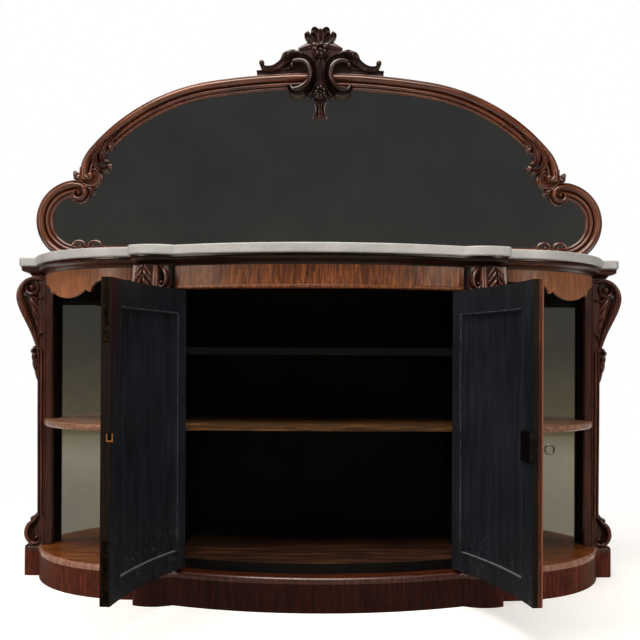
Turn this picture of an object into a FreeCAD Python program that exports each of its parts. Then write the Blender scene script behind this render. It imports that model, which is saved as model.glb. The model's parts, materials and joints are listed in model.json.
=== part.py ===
"""Serpentine mirror-back credenza with a bowed pair of doors.

Millimetres, +Z up, +X to the right, the front faces -Y. Z = 0 is the floor, and the origin lies
under the centre bearer of the plinth. Depths are measured forwards from the back line.
"""
import FreeCAD, Part
import math
import os
import re

from FreeCAD import Placement, Rotation, Vector

# Driving sizes, by the piece that they belong to
SIZES = {
    # Plan of the whole piece: everything that follows the front is offset from this line
    "back_line": 250.0,
    "bow_radius": 1117.0,
    "bow_front": 502.0,
    "bow_reveal": 1.0,
    "block_radius": 102.5,
    "block_reveal": 1.0,
    "end_centre_inset": 1.0,
    "end_step": 50.9,
    "end_radius": 365.0,
    "ear_width": 35.0,
    "ear_front": 117.0,
    "corner_round": 18.0,
    "crease_round": 4.0,
    # Plinth and deck
    "plinth_height": 76.0,
    "plinth_wall": 28.0,
    "plinth_rail": 22.0,
    "ear_wall": 70.0,
    "bearer_width": 60.0,
    "deck_thickness": 17.0,
    "deck_round": 11.0,
    # Carcass
    "half_opening": 391.0,
    "side_thickness": 20.0,
    "side_clearance": 1.8,
    "carcass_top": 914.0,
    "bottom_thickness": 27.0,
    "door_setback": 17.6,
    "door_thickness": 24.0,
    "door_clearance": 2.0,
    "back_recess": 42.0,
    "back_thickness": 12.0,
    "pilaster_flat": 9.0,
    "pilaster_width": 108.0,
    "pilaster_setback": 20.33,
    "pilaster_crown": 20.0,
    "pilaster_return": 35.0,
    "post_reveal": 40.0,
    "post_width": 45.0,
    "post_setback": 5.0,
    "post_bead": 5.0,
    # Side mirrors
    "side_plate_thickness": 5.0,
    "slip_width": 13.0,
    "side_mirror_drop": 86.0,
    # Shelves
    "end_shelf_top": 478.0,
    "end_shelf_thickness": 19.0,
    "end_shelf_inset": 12.0,
    "end_shelf_round": 6.0,
    "shelf_thickness": 20.0,
    "shelf_setback": 25.0,
    "upper_shelf_top": 695.0,
    "lower_shelf_top": 484.0,
    "bearer_section": 18.0,
    "bearer_setback": 25.0,
    # Friezes, cornice and top
    "frieze_setback": 15.0,
    "frieze_thickness": 24.0,
    "frieze_height": 53.0,
    "cock_bead_height": 10.0,
    "cock_bead_proud": 4.0,
    "cock_bead_round": 3.0,
    "socket_depth": 12.0,
    "end_frieze_thickness": 15.0,
    "end_frieze_height": 79.0,
    "tooth_width": 8.0,
    "tooth_rise": 7.0,
    "cornice_height": 28.0,
    "cornice_lip": 5.0,
    "cornice_proud": 8.0,
    "cornice_foot": 16.0,
    "cornice_width": 34.0,
    "marble_thickness": 26.0,
    "marble_overhang": 16.0,
    "marble_edge_round": 4.0,
    # Corbels
    "corbel_width": 84.0,
    "corbel_inset": 17.0,
    "corbel_height": 118.0,
    "corbel_reach": 51.0,
    "corbel_scroll": 19.0,
    "corbel_waist_reach": 27.0,
    "corbel_waist_drop": 76.0,
    "corbel_foot_scroll": 9.0,
    "corbel_turn": 50.0,
    "corbel_eye": 8.0,
    "corbel_eye_proud": 3.0,
    # Consoles: their places are measured outwards from the post, and down from its top
    "console_depth": 44.0,
    "console_volute_reach": 25.0,
    "console_volute": 37.0,
    "console_reach": 65.0,
    "console_neck_reach": 49.0,
    "console_neck_drop": 114.0,
    "console_shin_reach": 24.0,
    "console_shin_drop": 211.0,
    "console_tail_drop": 282.0,
    "console_strap": 11.0,
    "console_face": 6.0,
    "console_eye": 12.0,
    "console_bend": 45.0,
    "console_eye_proud": 6.0,
    "flower_radius": 15.0,
    "flower_drop": 232.0,
    "flower_reach": 7.0,
    "drop_width": 18.0,
    "drop_end": 328.0,
    "drop_tip_width": 6.0,
    "foot_scroll": 28.0,
    "foot_scroll_rise": 33.0,
    "foot_scroll_reach": 11.0,
    "foot_curl": 9.0,
    "foot_curl_reach": 6.0,
    "foot_curl_rise": 72.0,
    "foot_cove_rise": 107.0,
    # Mirror
    "lobe_reveal": 8.0,
    "arch_inset": 7.0,
    "arch_stilt": 14.0,
    "crown_angle": 9.0,
    "haunch_angle": 41.0,
    "lobe_radius": 128.0,
    "frame_width": 40.0,
    "lobe_width": 50.0,
    "moulding_depth": 24.0,
    "outer_fillet_width": 3.0,
    "outer_fillet_depth": 13.0,
    "bead_width": 19.0,
    "groove_width": 2.0,
    "groove_depth": 9.0,
    "small_bead_width": 9.0,
    "small_bead_depth": 15.0,
    "sight_lip": 4.0,
    "arch_volute": 47.0,
    "lobe_volute": 41.0,
    "volute_plate": 16.0,
    "volute_ridge": 4.5,
    "volute_pitch": 11.0,
    "volute_shoulder": 1.0,
    "volute_eye": 9.0,
    "volute_eye_proud": 10.0,
    "ground_thickness": 26.0,
    "ground_inset": 3.0,
    "rebate": 8.0,
    "mirror_plate_thickness": 6.0,
    "mirror_clearance": 1.0,
    "mirror_board_thickness": 12.0,
    # Carving on the mirror: rises and drops are measured from the top of the arch
    "crest_rise": 142.0,
    "crest_seat": 16.0,
    "crest_half": 198.0,
    "crest_thickness": 30.0,
    "scroll_centre_x": 72.0,
    "scroll_drop": 25.0,
    "scroll_radius": 42.0,
    "scroll_tube": 13.0,
    "scroll_turn": 230.0,
    "scroll_start": 65.0,
    "shell_radius": 24.0,
    "shell_drop": 74.0,
    "husk_drop": 151.0,
    "husk_half": 23.0,
    "rosette_radius": 19.0,
    "rosette_rise": 66.0,
    "rosette_proud": 12.0,
    "leaf_width": 30.0,
    "leaf_thickness": 16.0,
    "spur_reach": 15.0,
    "spur_width": 26.0,
    "spur_height": 38.0,
    "curl_radius": 14.0,
    "curl_tube": 4.5,
    "curl_spacing": 42.0,
    "curl_inset": 47.0,
    # Doors
    "door_foot_gap": 8.0,
    "door_head_gap": 2.5,
    "door_gap": 3.0,
    "meeting_stile": 65.0,
    "hinge_stile": 38.0,
    "bottom_rail": 52.0,
    "top_rail": 64.0,
    "panel_thickness": 9.0,
    "panel_inset": 8.0,
    "panel_tongue": 6.0,
    "panel_moulding": 14.0,
    "panel_moulding_proud": 3.0,
    "left_open_angle": 96.0,
    "right_open_angle": 98.0,
    # Hinges
    "knuckle_radius": 4.0,
    "knuckle_clearance": 0.5,
    "hinge_pin_radius": 2.0,
    "running_clearance": 0.05,
    "hinge_length": 76.0,
    "hinge_inset": 70.0,
    "hinge_leaf": 1.3,
    "hinge_leaf_width": 20.0,
    "hinge_plate_setback": 2.16,
    "hinge_plate_gap": 2.0,
    "hinge_end_gap": 0.4,
    "screw_radius": 3.2,
    "screw_length": 14.0,
    "screw_shank": 1.6,
    # Flush bolts and their plates
    "bolt_radius": 3.0,
    "bolt_length": 118.0,
    "bolt_setback": 5.5,
    "bolt_shift": 0.4,
    "bolt_plate_width": 16.0,
    "bolt_plate_length": 150.0,
    "bolt_plate_thickness": 1.5,
    "thumb_slot_width": 6.0,
    "thumb_slot_length": 34.0,
    "thumb_slot_from_end": 78.0,
    "thumb_length": 14.0,
    "thumb_clearance": 0.5,
    "socket_clearance": 1.0,
    # Lock, key and strike: heights are measured up from the foot of the lock case
    "lock_width": 56.0,
    "lock_height": 70.0,
    "lock_bottom": 430.0,
    "lock_proud": 8.4,
    "lock_case_thickness": 18.0,
    "lock_wall": 2.0,
    "lock_bolt_height": 14.0,
    "lock_bolt_thickness": 8.0,
    "lock_bolt_length": 40.0,
    "lock_bolt_rise": 56.0,
    "lock_bolt_clearance": 0.3,
    "lock_strike_shift": 2.0,
    "talon_width": 5.0,
    "talon_rise": 39.0,
    "key_setback": 35.5,
    "key_rise": 27.0,
    "key_shank": 2.5,
    "key_bit": 10.5,
    "key_bit_width": 5.0,
    "key_bit_thickness": 2.4,
    "key_bow_radius": 11.0,
    "key_bow_wire": 2.5,
    "key_stand_off": 20.0,
    "key_collar": 4.5,
    "key_collar_length": 4.0,
    "escutcheon_radius": 13.0,
    "escutcheon_thickness": 2.0,
    "strike_height": 24.0,
    "strike_width": 16.0,
    "strike_thickness": 1.0,
    "strike_mortise": 13.0,
}
HALF = 0.5
# Rise and crown radius of the arch, over its half width
ARCH_RISE_SHARE = 0.4333
CROWN_RADIUS_SHARE = 2.906
# Leaf inside the arch: base and outer edge over the half width, base and foot over the rise
LEAF_SHARES = (0.8375, 0.9115, 0.4268, 0.0244)
# Scalloped frieze: places across from the pilaster to the frieze's tip, and drops over its height
FRIEZE_ACROSS_SHARES = {"arch": 0.332, "near_tooth": 0.424, "lobe": 0.655, "far_tooth": 0.854, "cove": 0.901}
FRIEZE_DROP_SHARES = {"arch": 0.418, "tooth": 0.797, "cove": 0.494}
# Cornice from its foot to its lip: height and reach, for a cove under an ovolo
CORNICE_SHARES = ((0.0, 0.0), (0.16, 0.05), (0.3, 0.17), (0.41, 0.37), (0.44, 0.52), (0.54, 0.78),
                  (0.68, 0.93), (0.84, 0.99), (1.0, 0.9))
# Crest outline on the right, from the top to the foot: across over the half width, up over the height
CREST_SHARES = ((0.212, 0.873), (0.141, 0.734), (0.364, 0.646), (0.293, 0.506), (0.646, 0.418),
                (0.576, 0.253), (1.0, 0.253), (1.0, 0.0))


def bow_depth(own, setback, across):
    """Depth of a surface set back from the bowed front, at a distance across."""
    radius = own["bow_radius"] - setback
    return own["bow_front"] - own["bow_radius"] + math.sqrt(radius ** 2 - across ** 2)


def add_plan_sizes(own):
    """Adds the places that follow from the driving sizes of the plan."""
    own["bow_half"] = own["half_opening"] + own["bow_reveal"]
    own["block_outer"] = own["bow_half"] + own["pilaster_width"] + own["block_reveal"]
    own["end_centre_x"] = own["block_outer"] - own["end_centre_inset"]
    own["end_centre_depth"] = bow_depth(own, 0.0, own["bow_half"]) - own["end_step"] - own["end_radius"]
    own["ear_half"] = own["end_centre_x"] + own["end_radius"] + own["ear_width"]
    own["ear_inner"] = own["ear_half"] - own["ear_wall"]
    own["post_outer"] = own["ear_half"] - own["post_reveal"]
    own["post_inner"] = own["post_outer"] - own["post_width"]
    own["post_front"] = own["ear_front"] - own["post_setback"]
    door_inside = own["door_setback"] + own["door_thickness"]
    own["side_depth"] = bow_depth(own, door_inside, own["half_opening"]) - own["side_clearance"]
    own["shelf_front_depth"] = own["side_depth"] - own["shelf_setback"]
    own["pilaster_back_depth"] = own["side_depth"] - own["pilaster_return"]
    own["pilaster_flat_depth"] = bow_depth(own, 0.0, own["half_opening"]) - own["pilaster_setback"]
    own["corbel_front_depth"] = own["pilaster_flat_depth"] + own["corbel_reach"]
    own["corbel_waist_depth"] = own["pilaster_flat_depth"] + own["corbel_waist_reach"]
    hinge_edge = bow_depth(own, own["door_setback"], own["half_opening"] - own["door_gap"])
    own["hinge_plate_depth"] = hinge_edge - own["hinge_leaf_width"] - own["hinge_plate_setback"]
    own["bolt_depth"] = own["bow_front"] - door_inside + own["door_thickness"] * HALF - own["bolt_shift"]
    own["lock_back_depth"] = own["bow_front"] - door_inside - own["lock_proud"]
    own["key_x"] = own["door_gap"] * HALF + own["key_setback"]


def add_heights(own):
    """Adds the heights that follow from the driving ones."""
    deck_top = own["plinth_height"] + own["deck_thickness"]
    top = own["carcass_top"]
    own["frieze_bottom"] = top - own["frieze_height"]
    own["end_frieze_lobe"] = top - own["end_frieze_height"]
    own["door_bottom"] = deck_top + own["door_foot_gap"]
    own["door_top"] = own["frieze_bottom"] - own["cock_bead_height"] - own["door_head_gap"]
    own["side_mirror_top"] = top - own["side_mirror_drop"]
    own["corbel_bottom"] = top - own["corbel_height"]
    own["corbel_waist_height"] = top - own["corbel_waist_drop"]
    own["lock_bolt_centre"] = own["lock_bottom"] + own["lock_bolt_rise"]
    own["talon_bottom"] = own["lock_bottom"] + own["talon_rise"]
    own["key_height"] = own["lock_bottom"] + own["key_rise"]
    own["console_volute_height"] = top - own["console_volute"]
    for name in ("console_neck", "console_shin", "console_tail", "flower"):
        own[name + "_height"] = top - own[name + "_drop"]
    own["drop_bottom"] = top - own["drop_end"]
    for name in ("foot_scroll", "foot_curl", "foot_cove"):
        own[name + "_height"] = deck_top + own[name + "_rise"]
    own["console_outer_x"] = own["post_outer"] + own["console_reach"]
    for name in ("console_volute", "console_neck", "console_shin", "flower", "foot_scroll", "foot_curl"):
        own[name + "_x"] = own["post_outer"] + own[name + "_reach"]


def add_mirror_sizes(own):
    """Adds the places of the mirror, which stands on the marble and follows its length."""
    own["mirror_foot"] = own["carcass_top"] + own["cornice_height"] + own["marble_thickness"]
    own["lobe_centre_x"] = own["ear_half"] - own["lobe_reveal"] - own["lobe_radius"]
    own["arch_half"] = own["lobe_centre_x"] - own["arch_inset"]
    own["arch_spring"] = own["mirror_foot"] + 2 * own["lobe_radius"] + own["arch_stilt"]
    rise = own["arch_half"] * ARCH_RISE_SHARE
    own["arch_top"] = own["arch_spring"] + rise
    own["crown_radius"] = own["arch_half"] * CROWN_RADIUS_SHARE
    own["crest_tip"] = own["arch_top"] + own["crest_rise"]
    own["crest_base"] = own["arch_top"] - own["crest_seat"]
    own["rosette_height"] = own["arch_top"] + own["rosette_rise"]
    own["scroll_centre_height"] = own["arch_top"] - own["scroll_drop"]
    own["shell_height"] = own["arch_top"] - own["shell_drop"]
    own["husk_foot"] = own["arch_top"] - own["husk_drop"]
    base_x, outer_x, base_height, foot = LEAF_SHARES
    own["leaf_base_x"] = own["arch_half"] * base_x
    own["leaf_outer_x"] = own["arch_half"] * outer_x
    own["leaf_base_height"] = own["arch_spring"] + rise * base_height
    own["leaf_foot"] = own["arch_spring"] + rise * foot
    own["spur_x"] = own["arch_half"] + own["spur_reach"]
    own["curl_centre_x"] = own["lobe_centre_x"] - own["curl_inset"]


add_plan_sizes(SIZES)
add_heights(SIZES)
add_mirror_sizes(SIZES)

doc = FreeCAD.newDocument("credenza")
sheet = doc.addObject("Spreadsheet::Sheet", "sizes")
for row, (alias, value) in enumerate(SIZES.items(), start=1):
    sheet.set("A%d" % row, alias.replace("_", " "))
    sheet.set("B%d" % row, str(value))
    sheet.setAlias("B%d" % row, alias)
doc.recompute()


def value(alias):
    """A size of the sheet, by its name."""
    return float(sheet.get(alias))


class Read:
    """Gives each size of the sheet as a property."""

    def __getattr__(self, alias):
        return value(alias)


size = Read()
NODES = {}
TOP_ROLE = "XY_Plane"
FRONT_ROLE = "XZ_Plane"
SIDE_ROLE = "YZ_Plane"
LEFT, RIGHT = -1, 1
SIDES = (("left", LEFT), ("right", RIGHT))
UP = Vector(0, 0, 1)
FORWARDS = Vector(0, -1, 0)
ACROSS = Vector(1, 0, 0)
TINY = 1e-4
UPRIGHT_SHARE = 0.99
HALF_TURN = 180.0
QUARTER_TURN = 90.0
CREST_BULGE_SHARE = 0.18
VOLUTE_HALF_TURNS = 4
KNUCKLES = 3
SCREWS = 3
DECK_TOP = "plinth_height + deck_thickness"


def bind(obj, prop, text):
    """Ties a property to an expression written in the sheet's names."""
    obj.setExpression(prop, re.sub(r"[a-z]\w*", lambda name: "sizes." + name.group(), text))


def node(label, obj):
    """Names a finished sub-part: its label is its file's name."""
    obj.Label = label
    NODES[label] = obj
    return obj


def at(across, depth, height=0.0):
    """Point at a distance across, a depth forward of the back line and a height."""
    return Vector(across, size.back_line - depth, height)


def trace(start, *steps):
    """Closed chain: a point is a straight run, a pair is an arc through its first point."""
    curves = []
    here = start
    for step in steps:
        if isinstance(step, tuple):
            curves.append(Part.Arc(here, step[0], step[1]))
            here = step[1]
        else:
            curves.append(Part.LineSegment(here, step))
            here = step
    if here.distanceToPoint(start) > TINY:
        curves.append(Part.LineSegment(here, start))
    return curves


def new_body(name):
    return doc.addObject("PartDesign::Body", name)


def sketch_in(body, role, curves, ahead=None):
    """Sketch on one of the body's own origin planes, or ahead of it by an expression."""
    plane = [feature for feature in body.Origin.OriginFeatures if feature.Role == role][0]
    sketch = body.newObject("Sketcher::SketchObject", body.Name + "_outline")
    sketch.AttachmentSupport = (plane, [""])
    sketch.MapMode = "FlatFace"
    if ahead:
        bind(sketch, "AttachmentOffset.Base.z", ahead)
    sketch.addGeometry(curves, False)
    return sketch


def pad(body, role, curves, length):
    feature = body.newObject("PartDesign::Pad", body.Name + "_pad")
    feature.Profile = sketch_in(body, role, curves)
    bind(feature, "Length", length)
    return feature


def round_edges(body, feature, radius, wanted):
    """Rounds the edges of a feature that pass the test."""
    doc.recompute()
    names = []
    for number, edge in enumerate(feature.Shape.Edges, start=1):
        if wanted(edge, edge.valueAt((edge.FirstParameter + edge.LastParameter) * HALF)):
            names.append("Edge%d" % number)
    rounding = body.newObject("PartDesign::Fillet", body.Name + "_round")
    rounding.Base = (feature, names)
    bind(rounding, "Radius", radius)
    return rounding


def upright_at(points):
    """Test for upright edges that stand on one of the points of a plan."""
    def wanted(edge, middle):
        if len(edge.Vertexes) != 2:
            return False
        rise = abs(edge.Vertexes[0].Z - edge.Vertexes[1].Z)
        if rise < edge.Length * UPRIGHT_SHARE:
            return False
        return any(math.hypot(middle.x - p.x, middle.y - p.y) < size.crease_round * HALF for p in points)
    return wanted


def level_at(height):
    """Test for edges that lie level at a height, off the back line."""
    def wanted(edge, middle):
        level = all(abs(vertex.Z - height) < TINY for vertex in edge.Vertexes)
        return level and abs(middle.z - height) < TINY and middle.y < size.back_line - TINY
    return wanted


def board(name, across, depth, base, length, width, height):
    """Square-edged board: its left end, its back, its underside, and its three sizes."""
    box = doc.addObject("Part::Box", name)
    bind(box, "Length", length)
    bind(box, "Width", width)
    bind(box, "Height", height)
    bind(box, "Placement.Base.x", across)
    bind(box, "Placement.Base.y", "back_line - (%s) - (%s)" % (depth, width))
    bind(box, "Placement.Base.z", base)
    return box


def round_bar(name, across, depth, height, radius, length, direction):
    """Round bar from its end's centre along a direction; a length is an expression or is worked out."""
    bar = doc.addObject("Part::Cylinder", name)
    bind(bar, "Radius", radius)
    if isinstance(length, str):
        bind(bar, "Height", length)
    else:
        bar.Height = length
    bar.Placement = Placement(at(across, depth, height), Rotation(UP, direction))
    return bar


def joined(name, parts):
    fusion = doc.addObject("Part::MultiFuse", name)
    fusion.Shapes = parts
    fusion.Refine = True
    return fusion


def cut(name, base, *tools):
    tool = tools[0] if len(tools) == 1 else group(name + "_tools", tools)
    left = doc.addObject("Part::Cut", name)
    left.Base = base
    left.Tool = tool
    return left


def group(name, parts):
    """Separate solids that share one node."""
    compound = doc.addObject("Part::Compound", name)
    compound.Links = list(parts)
    return compound


def mirrored(name, source):
    """The same piece for the left side."""
    copy = doc.addObject("Part::Mirroring", name)
    copy.Source = source
    copy.Normal = ACROSS
    return copy


def pair(label, source):
    """A right-hand piece and its mirror image."""
    node("right_" + label, source)
    return node("left_" + label, mirrored("left_" + label, source))


def depth_on(centre_x, centre_depth, radius, across):
    """Front depth of a circle at a distance across."""
    return centre_depth + math.sqrt(radius ** 2 - (across - centre_x) ** 2)


def circles_meet(first, first_radius, second, second_radius):
    """The meeting point of two circles that lies nearer the middle of the piece."""
    span = second - first
    along = (first_radius ** 2 - second_radius ** 2 + span.Length ** 2) / (2 * span.Length)
    across = math.sqrt(first_radius ** 2 - along ** 2)
    unit = span.normalize()
    normal = Vector(-unit.y, unit.x, 0)
    found = [first + unit * along + normal * across, first + unit * along - normal * across]
    return min(found, key=lambda point: point.x)


class Plan:
    """The serpentine front line, moved outwards by an offset; points are (across, depth)."""

    def __init__(self, offset=0.0):
        self.bow_depth = size.bow_front - size.bow_radius
        self.bow_radius = size.bow_radius + offset
        self.block_x = (size.bow_half + size.block_outer) * HALF
        corner = depth_on(0, self.bow_depth, size.bow_radius, size.bow_half)
        reach = math.sqrt(size.block_radius ** 2 - (self.block_x - size.bow_half) ** 2)
        self.block_depth = corner - reach
        self.block_radius = size.block_radius + offset
        self.end_radius = size.end_radius + offset
        self.ear_front = size.ear_front + offset
        self.outer = size.block_outer + offset
        self.ear_half = size.ear_half + offset
        bow_centre = Vector(0, self.bow_depth, 0)
        block_centre = Vector(self.block_x, self.block_depth, 0)
        meeting = circles_meet(bow_centre, self.bow_radius, block_centre, self.block_radius)
        self.inner_crease = (meeting.x, meeting.y)
        self.block_corner = (self.outer, self.block_at(self.outer))
        self.outer_crease = (self.outer, self.end_at(self.outer))
        reach = math.sqrt(self.end_radius ** 2 - (self.ear_front - size.end_centre_depth) ** 2)
        self.ear_crease = (size.end_centre_x + reach, self.ear_front)
        self.ear_corner = (self.ear_half, self.ear_front)
        self.ear_back = (self.ear_half, 0.0)

    def bow_at(self, across):
        return depth_on(0, self.bow_depth, self.bow_radius, across)

    def block_at(self, across):
        return depth_on(self.block_x, self.block_depth, self.block_radius, across)

    def end_at(self, across):
        return depth_on(size.end_centre_x, size.end_centre_depth, self.end_radius, across)

    def block_middle(self):
        middle = (self.inner_crease[0] + self.block_corner[0]) * HALF
        return (middle, self.block_at(middle))

    def end_between(self, first, last):
        """Point of the end's arc half way round between two places across."""
        turns = [math.asin((x - size.end_centre_x) / self.end_radius) for x in (first, last)]
        middle = size.end_centre_x + self.end_radius * math.sin(sum(turns) * HALF)
        return (middle, self.end_at(middle))

    def place(self, point, side=1):
        return at(side * point[0], point[1])

    def whole(self):
        """Closed outline of a board that fills the plan."""
        right = lambda point: self.place(point)
        left = lambda point: self.place(point, -1)
        end_middle = self.end_between(self.outer_crease[0], self.ear_crease[0])
        block_middle = self.block_middle()
        return trace(
            left(self.ear_back), left(self.ear_corner), left(self.ear_crease),
            (left(end_middle), left(self.outer_crease)), left(self.block_corner),
            (left(block_middle), left(self.inner_crease)),
            (at(0, self.bow_at(0)), right(self.inner_crease)),
            (right(block_middle), right(self.block_corner)), right(self.outer_crease),
            (right(end_middle), right(self.ear_crease)), right(self.ear_corner), right(self.ear_back))

    def corners(self):
        return [self.place(p, side) for p in (self.block_corner, self.ear_corner) for side in (-1, 1)]

    def creases(self):
        inward = (self.inner_crease, self.outer_crease, self.ear_crease)
        return [self.place(p, side) for p in inward for side in (-1, 1)]


def serpentine_slab(name, offset, base, thickness):
    """Board that follows the whole front, with its upright corners rounded."""
    plan = Plan(offset)
    body = new_body(name)
    feature = pad(body, TOP_ROLE, plan.whole(), thickness)
    feature = round_edges(body, feature, "corner_round", upright_at(plan.corners()))
    feature = round_edges(body, feature, "crease_round", upright_at(plan.creases()))
    bind(body, "Placement.Base.z", base)
    return body, feature


def build_plinth():
    plan = Plan()
    inner = Plan(-size.plinth_wall)
    back = inner.end_at(size.block_outer)
    cheek = size.bow_half - size.plinth_wall
    body = new_body("plinth_front_body")
    right = lambda point: plan.place(point)
    left = lambda point: plan.place(point, -1)
    curves = trace(
        at(-size.block_outer, back), left(plan.block_corner),
        (left(plan.block_middle()), left(plan.inner_crease)),
        (at(0, plan.bow_at(0)), right(plan.inner_crease)),
        (right(plan.block_middle()), right(plan.block_corner)),
        at(size.block_outer, back), at(cheek, back), at(cheek, inner.bow_at(cheek)),
        (at(0, inner.bow_at(0)), at(-cheek, inner.bow_at(cheek))), at(-cheek, back))
    feature = pad(body, TOP_ROLE, curves, "plinth_height")
    blocks = [plan.place(plan.block_corner, side) for side in (-1, 1)]
    feature = round_edges(body, feature, "corner_round", upright_at(blocks))
    creases = [plan.place(plan.inner_crease, side) for side in (-1, 1)]
    round_edges(body, feature, "crease_round", upright_at(creases))
    node("plinth_front", body)

    body = new_body("right_plinth_end_body")
    ear_wall = inner.end_at(size.ear_inner)
    curves = trace(
        right(plan.outer_crease),
        (right(plan.end_between(plan.outer_crease[0], plan.ear_crease[0])), right(plan.ear_crease)),
        right(plan.ear_corner), right(plan.ear_back), at(size.ear_inner, 0), at(size.ear_inner, ear_wall),
        (right(inner.end_between(size.ear_inner, size.block_outer)), at(size.block_outer, back)))
    feature = pad(body, TOP_ROLE, curves, "plinth_height")
    feature = round_edges(body, feature, "corner_round", upright_at([right(plan.ear_corner)]))
    round_edges(body, feature, "crease_round", upright_at([right(plan.ear_crease)]))
    pair("plinth_end", body)

    back_rail = board("back_rail", "-ear_inner", "0", "0", "2 * ear_inner", "plinth_rail", "plinth_height")
    reach = inner.bow_at(size.bearer_width * HALF)
    bearer = new_body("centre_bearer")
    half = size.bearer_width * HALF
    pad(bearer, TOP_ROLE, trace(
        at(-half, size.plinth_rail), at(-half, reach), at(half, reach), at(half, size.plinth_rail)),
        "plinth_height")
    node("plinth_rails", group("plinth_rails", [back_rail, bearer]))


def build_deck():
    body, feature = serpentine_slab("deck_body", 0.0, "plinth_height", "deck_thickness")
    round_edges(body, feature, "deck_round", level_at(size.deck_thickness))
    return body


def sector(centre_x, centre_depth, inner, outer, first, last):
    """Plan of a bowed board between two places across."""
    middle = (first + last) * HALF
    point = lambda radius, across: at(across, depth_on(centre_x, centre_depth, radius, across))
    return trace(
        point(inner, first), (point(inner, middle), point(inner, last)), point(outer, last),
        (point(outer, middle), point(outer, first)))


def bowed(name, inner, outer, first, last, base, height):
    """Board bowed about the same centre as the middle of the front."""
    body = new_body(name)
    plan = sector(0, size.bow_front - size.bow_radius, inner, outer, first, last)
    feature = pad(body, TOP_ROLE, plan, height)
    bind(body, "Placement.Base.z", base)
    return body, feature


def door_outer():
    return size.bow_radius - size.door_setback


def door_inner():
    return door_outer() - size.door_thickness


def build_carcass():
    front = door_inner() - size.door_clearance
    bow = size.bow_front - size.bow_radius
    half = size.half_opening
    reach = depth_on(0, bow, front, half)
    body = new_body("cupboard_bottom_body")
    back = size.back_recess + size.back_thickness
    pad(body, TOP_ROLE, trace(
        at(-half, back), at(-half, reach), (at(0, bow + front), at(half, reach)), at(half, back)),
        "bottom_thickness")
    bind(body, "Placement.Base.z", DECK_TOP)
    node("cupboard_bottom", body)

    side = board("cupboard_side", "half_opening", "0", DECK_TOP,
                 "side_thickness", "side_depth", "carcass_top - (%s)" % DECK_TOP)
    pair("cupboard_side", side)

    outer = half + size.pilaster_width
    inner = half + size.side_thickness
    crown = (half + outer) * HALF
    body = new_body("pilaster")
    pad(body, TOP_ROLE, trace(
        at(half, size.side_depth), at(half, size.pilaster_flat_depth),
        at(half + size.pilaster_flat, size.pilaster_flat_depth),
        (at(crown, size.pilaster_flat_depth + size.pilaster_crown),
         at(outer - size.pilaster_flat, size.pilaster_flat_depth)),
        at(outer, size.pilaster_flat_depth), at(outer, size.pilaster_back_depth),
        at(inner, size.pilaster_back_depth), at(inner, size.side_depth)),
        "carcass_top - (%s)" % DECK_TOP)
    bind(body, "Placement.Base.z", DECK_TOP)

    post = new_body("corner_post")
    inner, outer = size.post_inner, size.post_outer
    feature = pad(post, TOP_ROLE, trace(
        at(inner, 0), at(inner, size.post_front), at(outer, size.post_front), at(outer, 0)),
        "carcass_top - (%s)" % DECK_TOP)
    round_edges(post, feature, "post_bead", upright_at([at(outer, size.post_front)]))
    bind(post, "Placement.Base.z", DECK_TOP)
    pair("corner_post", post)
    return body


def build_corbels(pilaster):
    """Scroll brackets over the pilasters, fitted to the pilasters' crowned fronts."""
    top = size.carcass_top
    flat_depth = size.pilaster_flat_depth
    scroll_depth = size.corbel_front_depth - size.corbel_scroll
    scroll_height = top - size.corbel_scroll
    foot_depth = size.corbel_waist_depth - size.corbel_foot_scroll
    foot_height = size.corbel_bottom + size.corbel_foot_scroll
    turn = math.radians(size.corbel_turn)
    under = (scroll_depth + size.corbel_scroll * math.cos(turn),
             scroll_height - size.corbel_scroll * math.sin(turn))
    side = lambda depth, height: Vector(size.back_line - depth, height, 0)
    body = new_body("corbel_body")
    feature = pad(body, SIDE_ROLE, trace(
        side(flat_depth, top), side(scroll_depth, top),
        (side(scroll_depth + size.corbel_scroll, scroll_height), side(*under)),
        (side(size.corbel_waist_depth, size.corbel_waist_height),
         side(size.corbel_waist_depth, foot_height)),
        (side(foot_depth + size.corbel_foot_scroll * math.sqrt(HALF),
              foot_height - size.corbel_foot_scroll * math.sqrt(HALF)),
         side(foot_depth, size.corbel_bottom)),
        side(flat_depth, size.corbel_bottom)), "corbel_width")
    bind(body, "Placement.Base.x", "half_opening + corbel_inset")
    end = size.half_opening + size.corbel_inset - size.corbel_eye_proud
    eye = round_bar("corbel_eye", end, scroll_depth, scroll_height, "corbel_eye",
                    "corbel_width + 2 * corbel_eye_proud", ACROSS)
    whole = joined("corbel_whole", [body, eye])
    pair("corbel", cut("corbel_cut", whole, pilaster))


def upright_pad(name, curves, back, front):
    """Piece cut from the front: an outline across and up, between two depths."""
    body = new_body(name)
    pad(body, FRONT_ROLE, curves, "(%s) - (%s)" % (front, back))
    bind(body, "Placement.Base.y", "back_line - (%s)" % back)
    return body


def spot(across, height):
    """Point of an upright sketch."""
    return Vector(across, height, 0)


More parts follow.
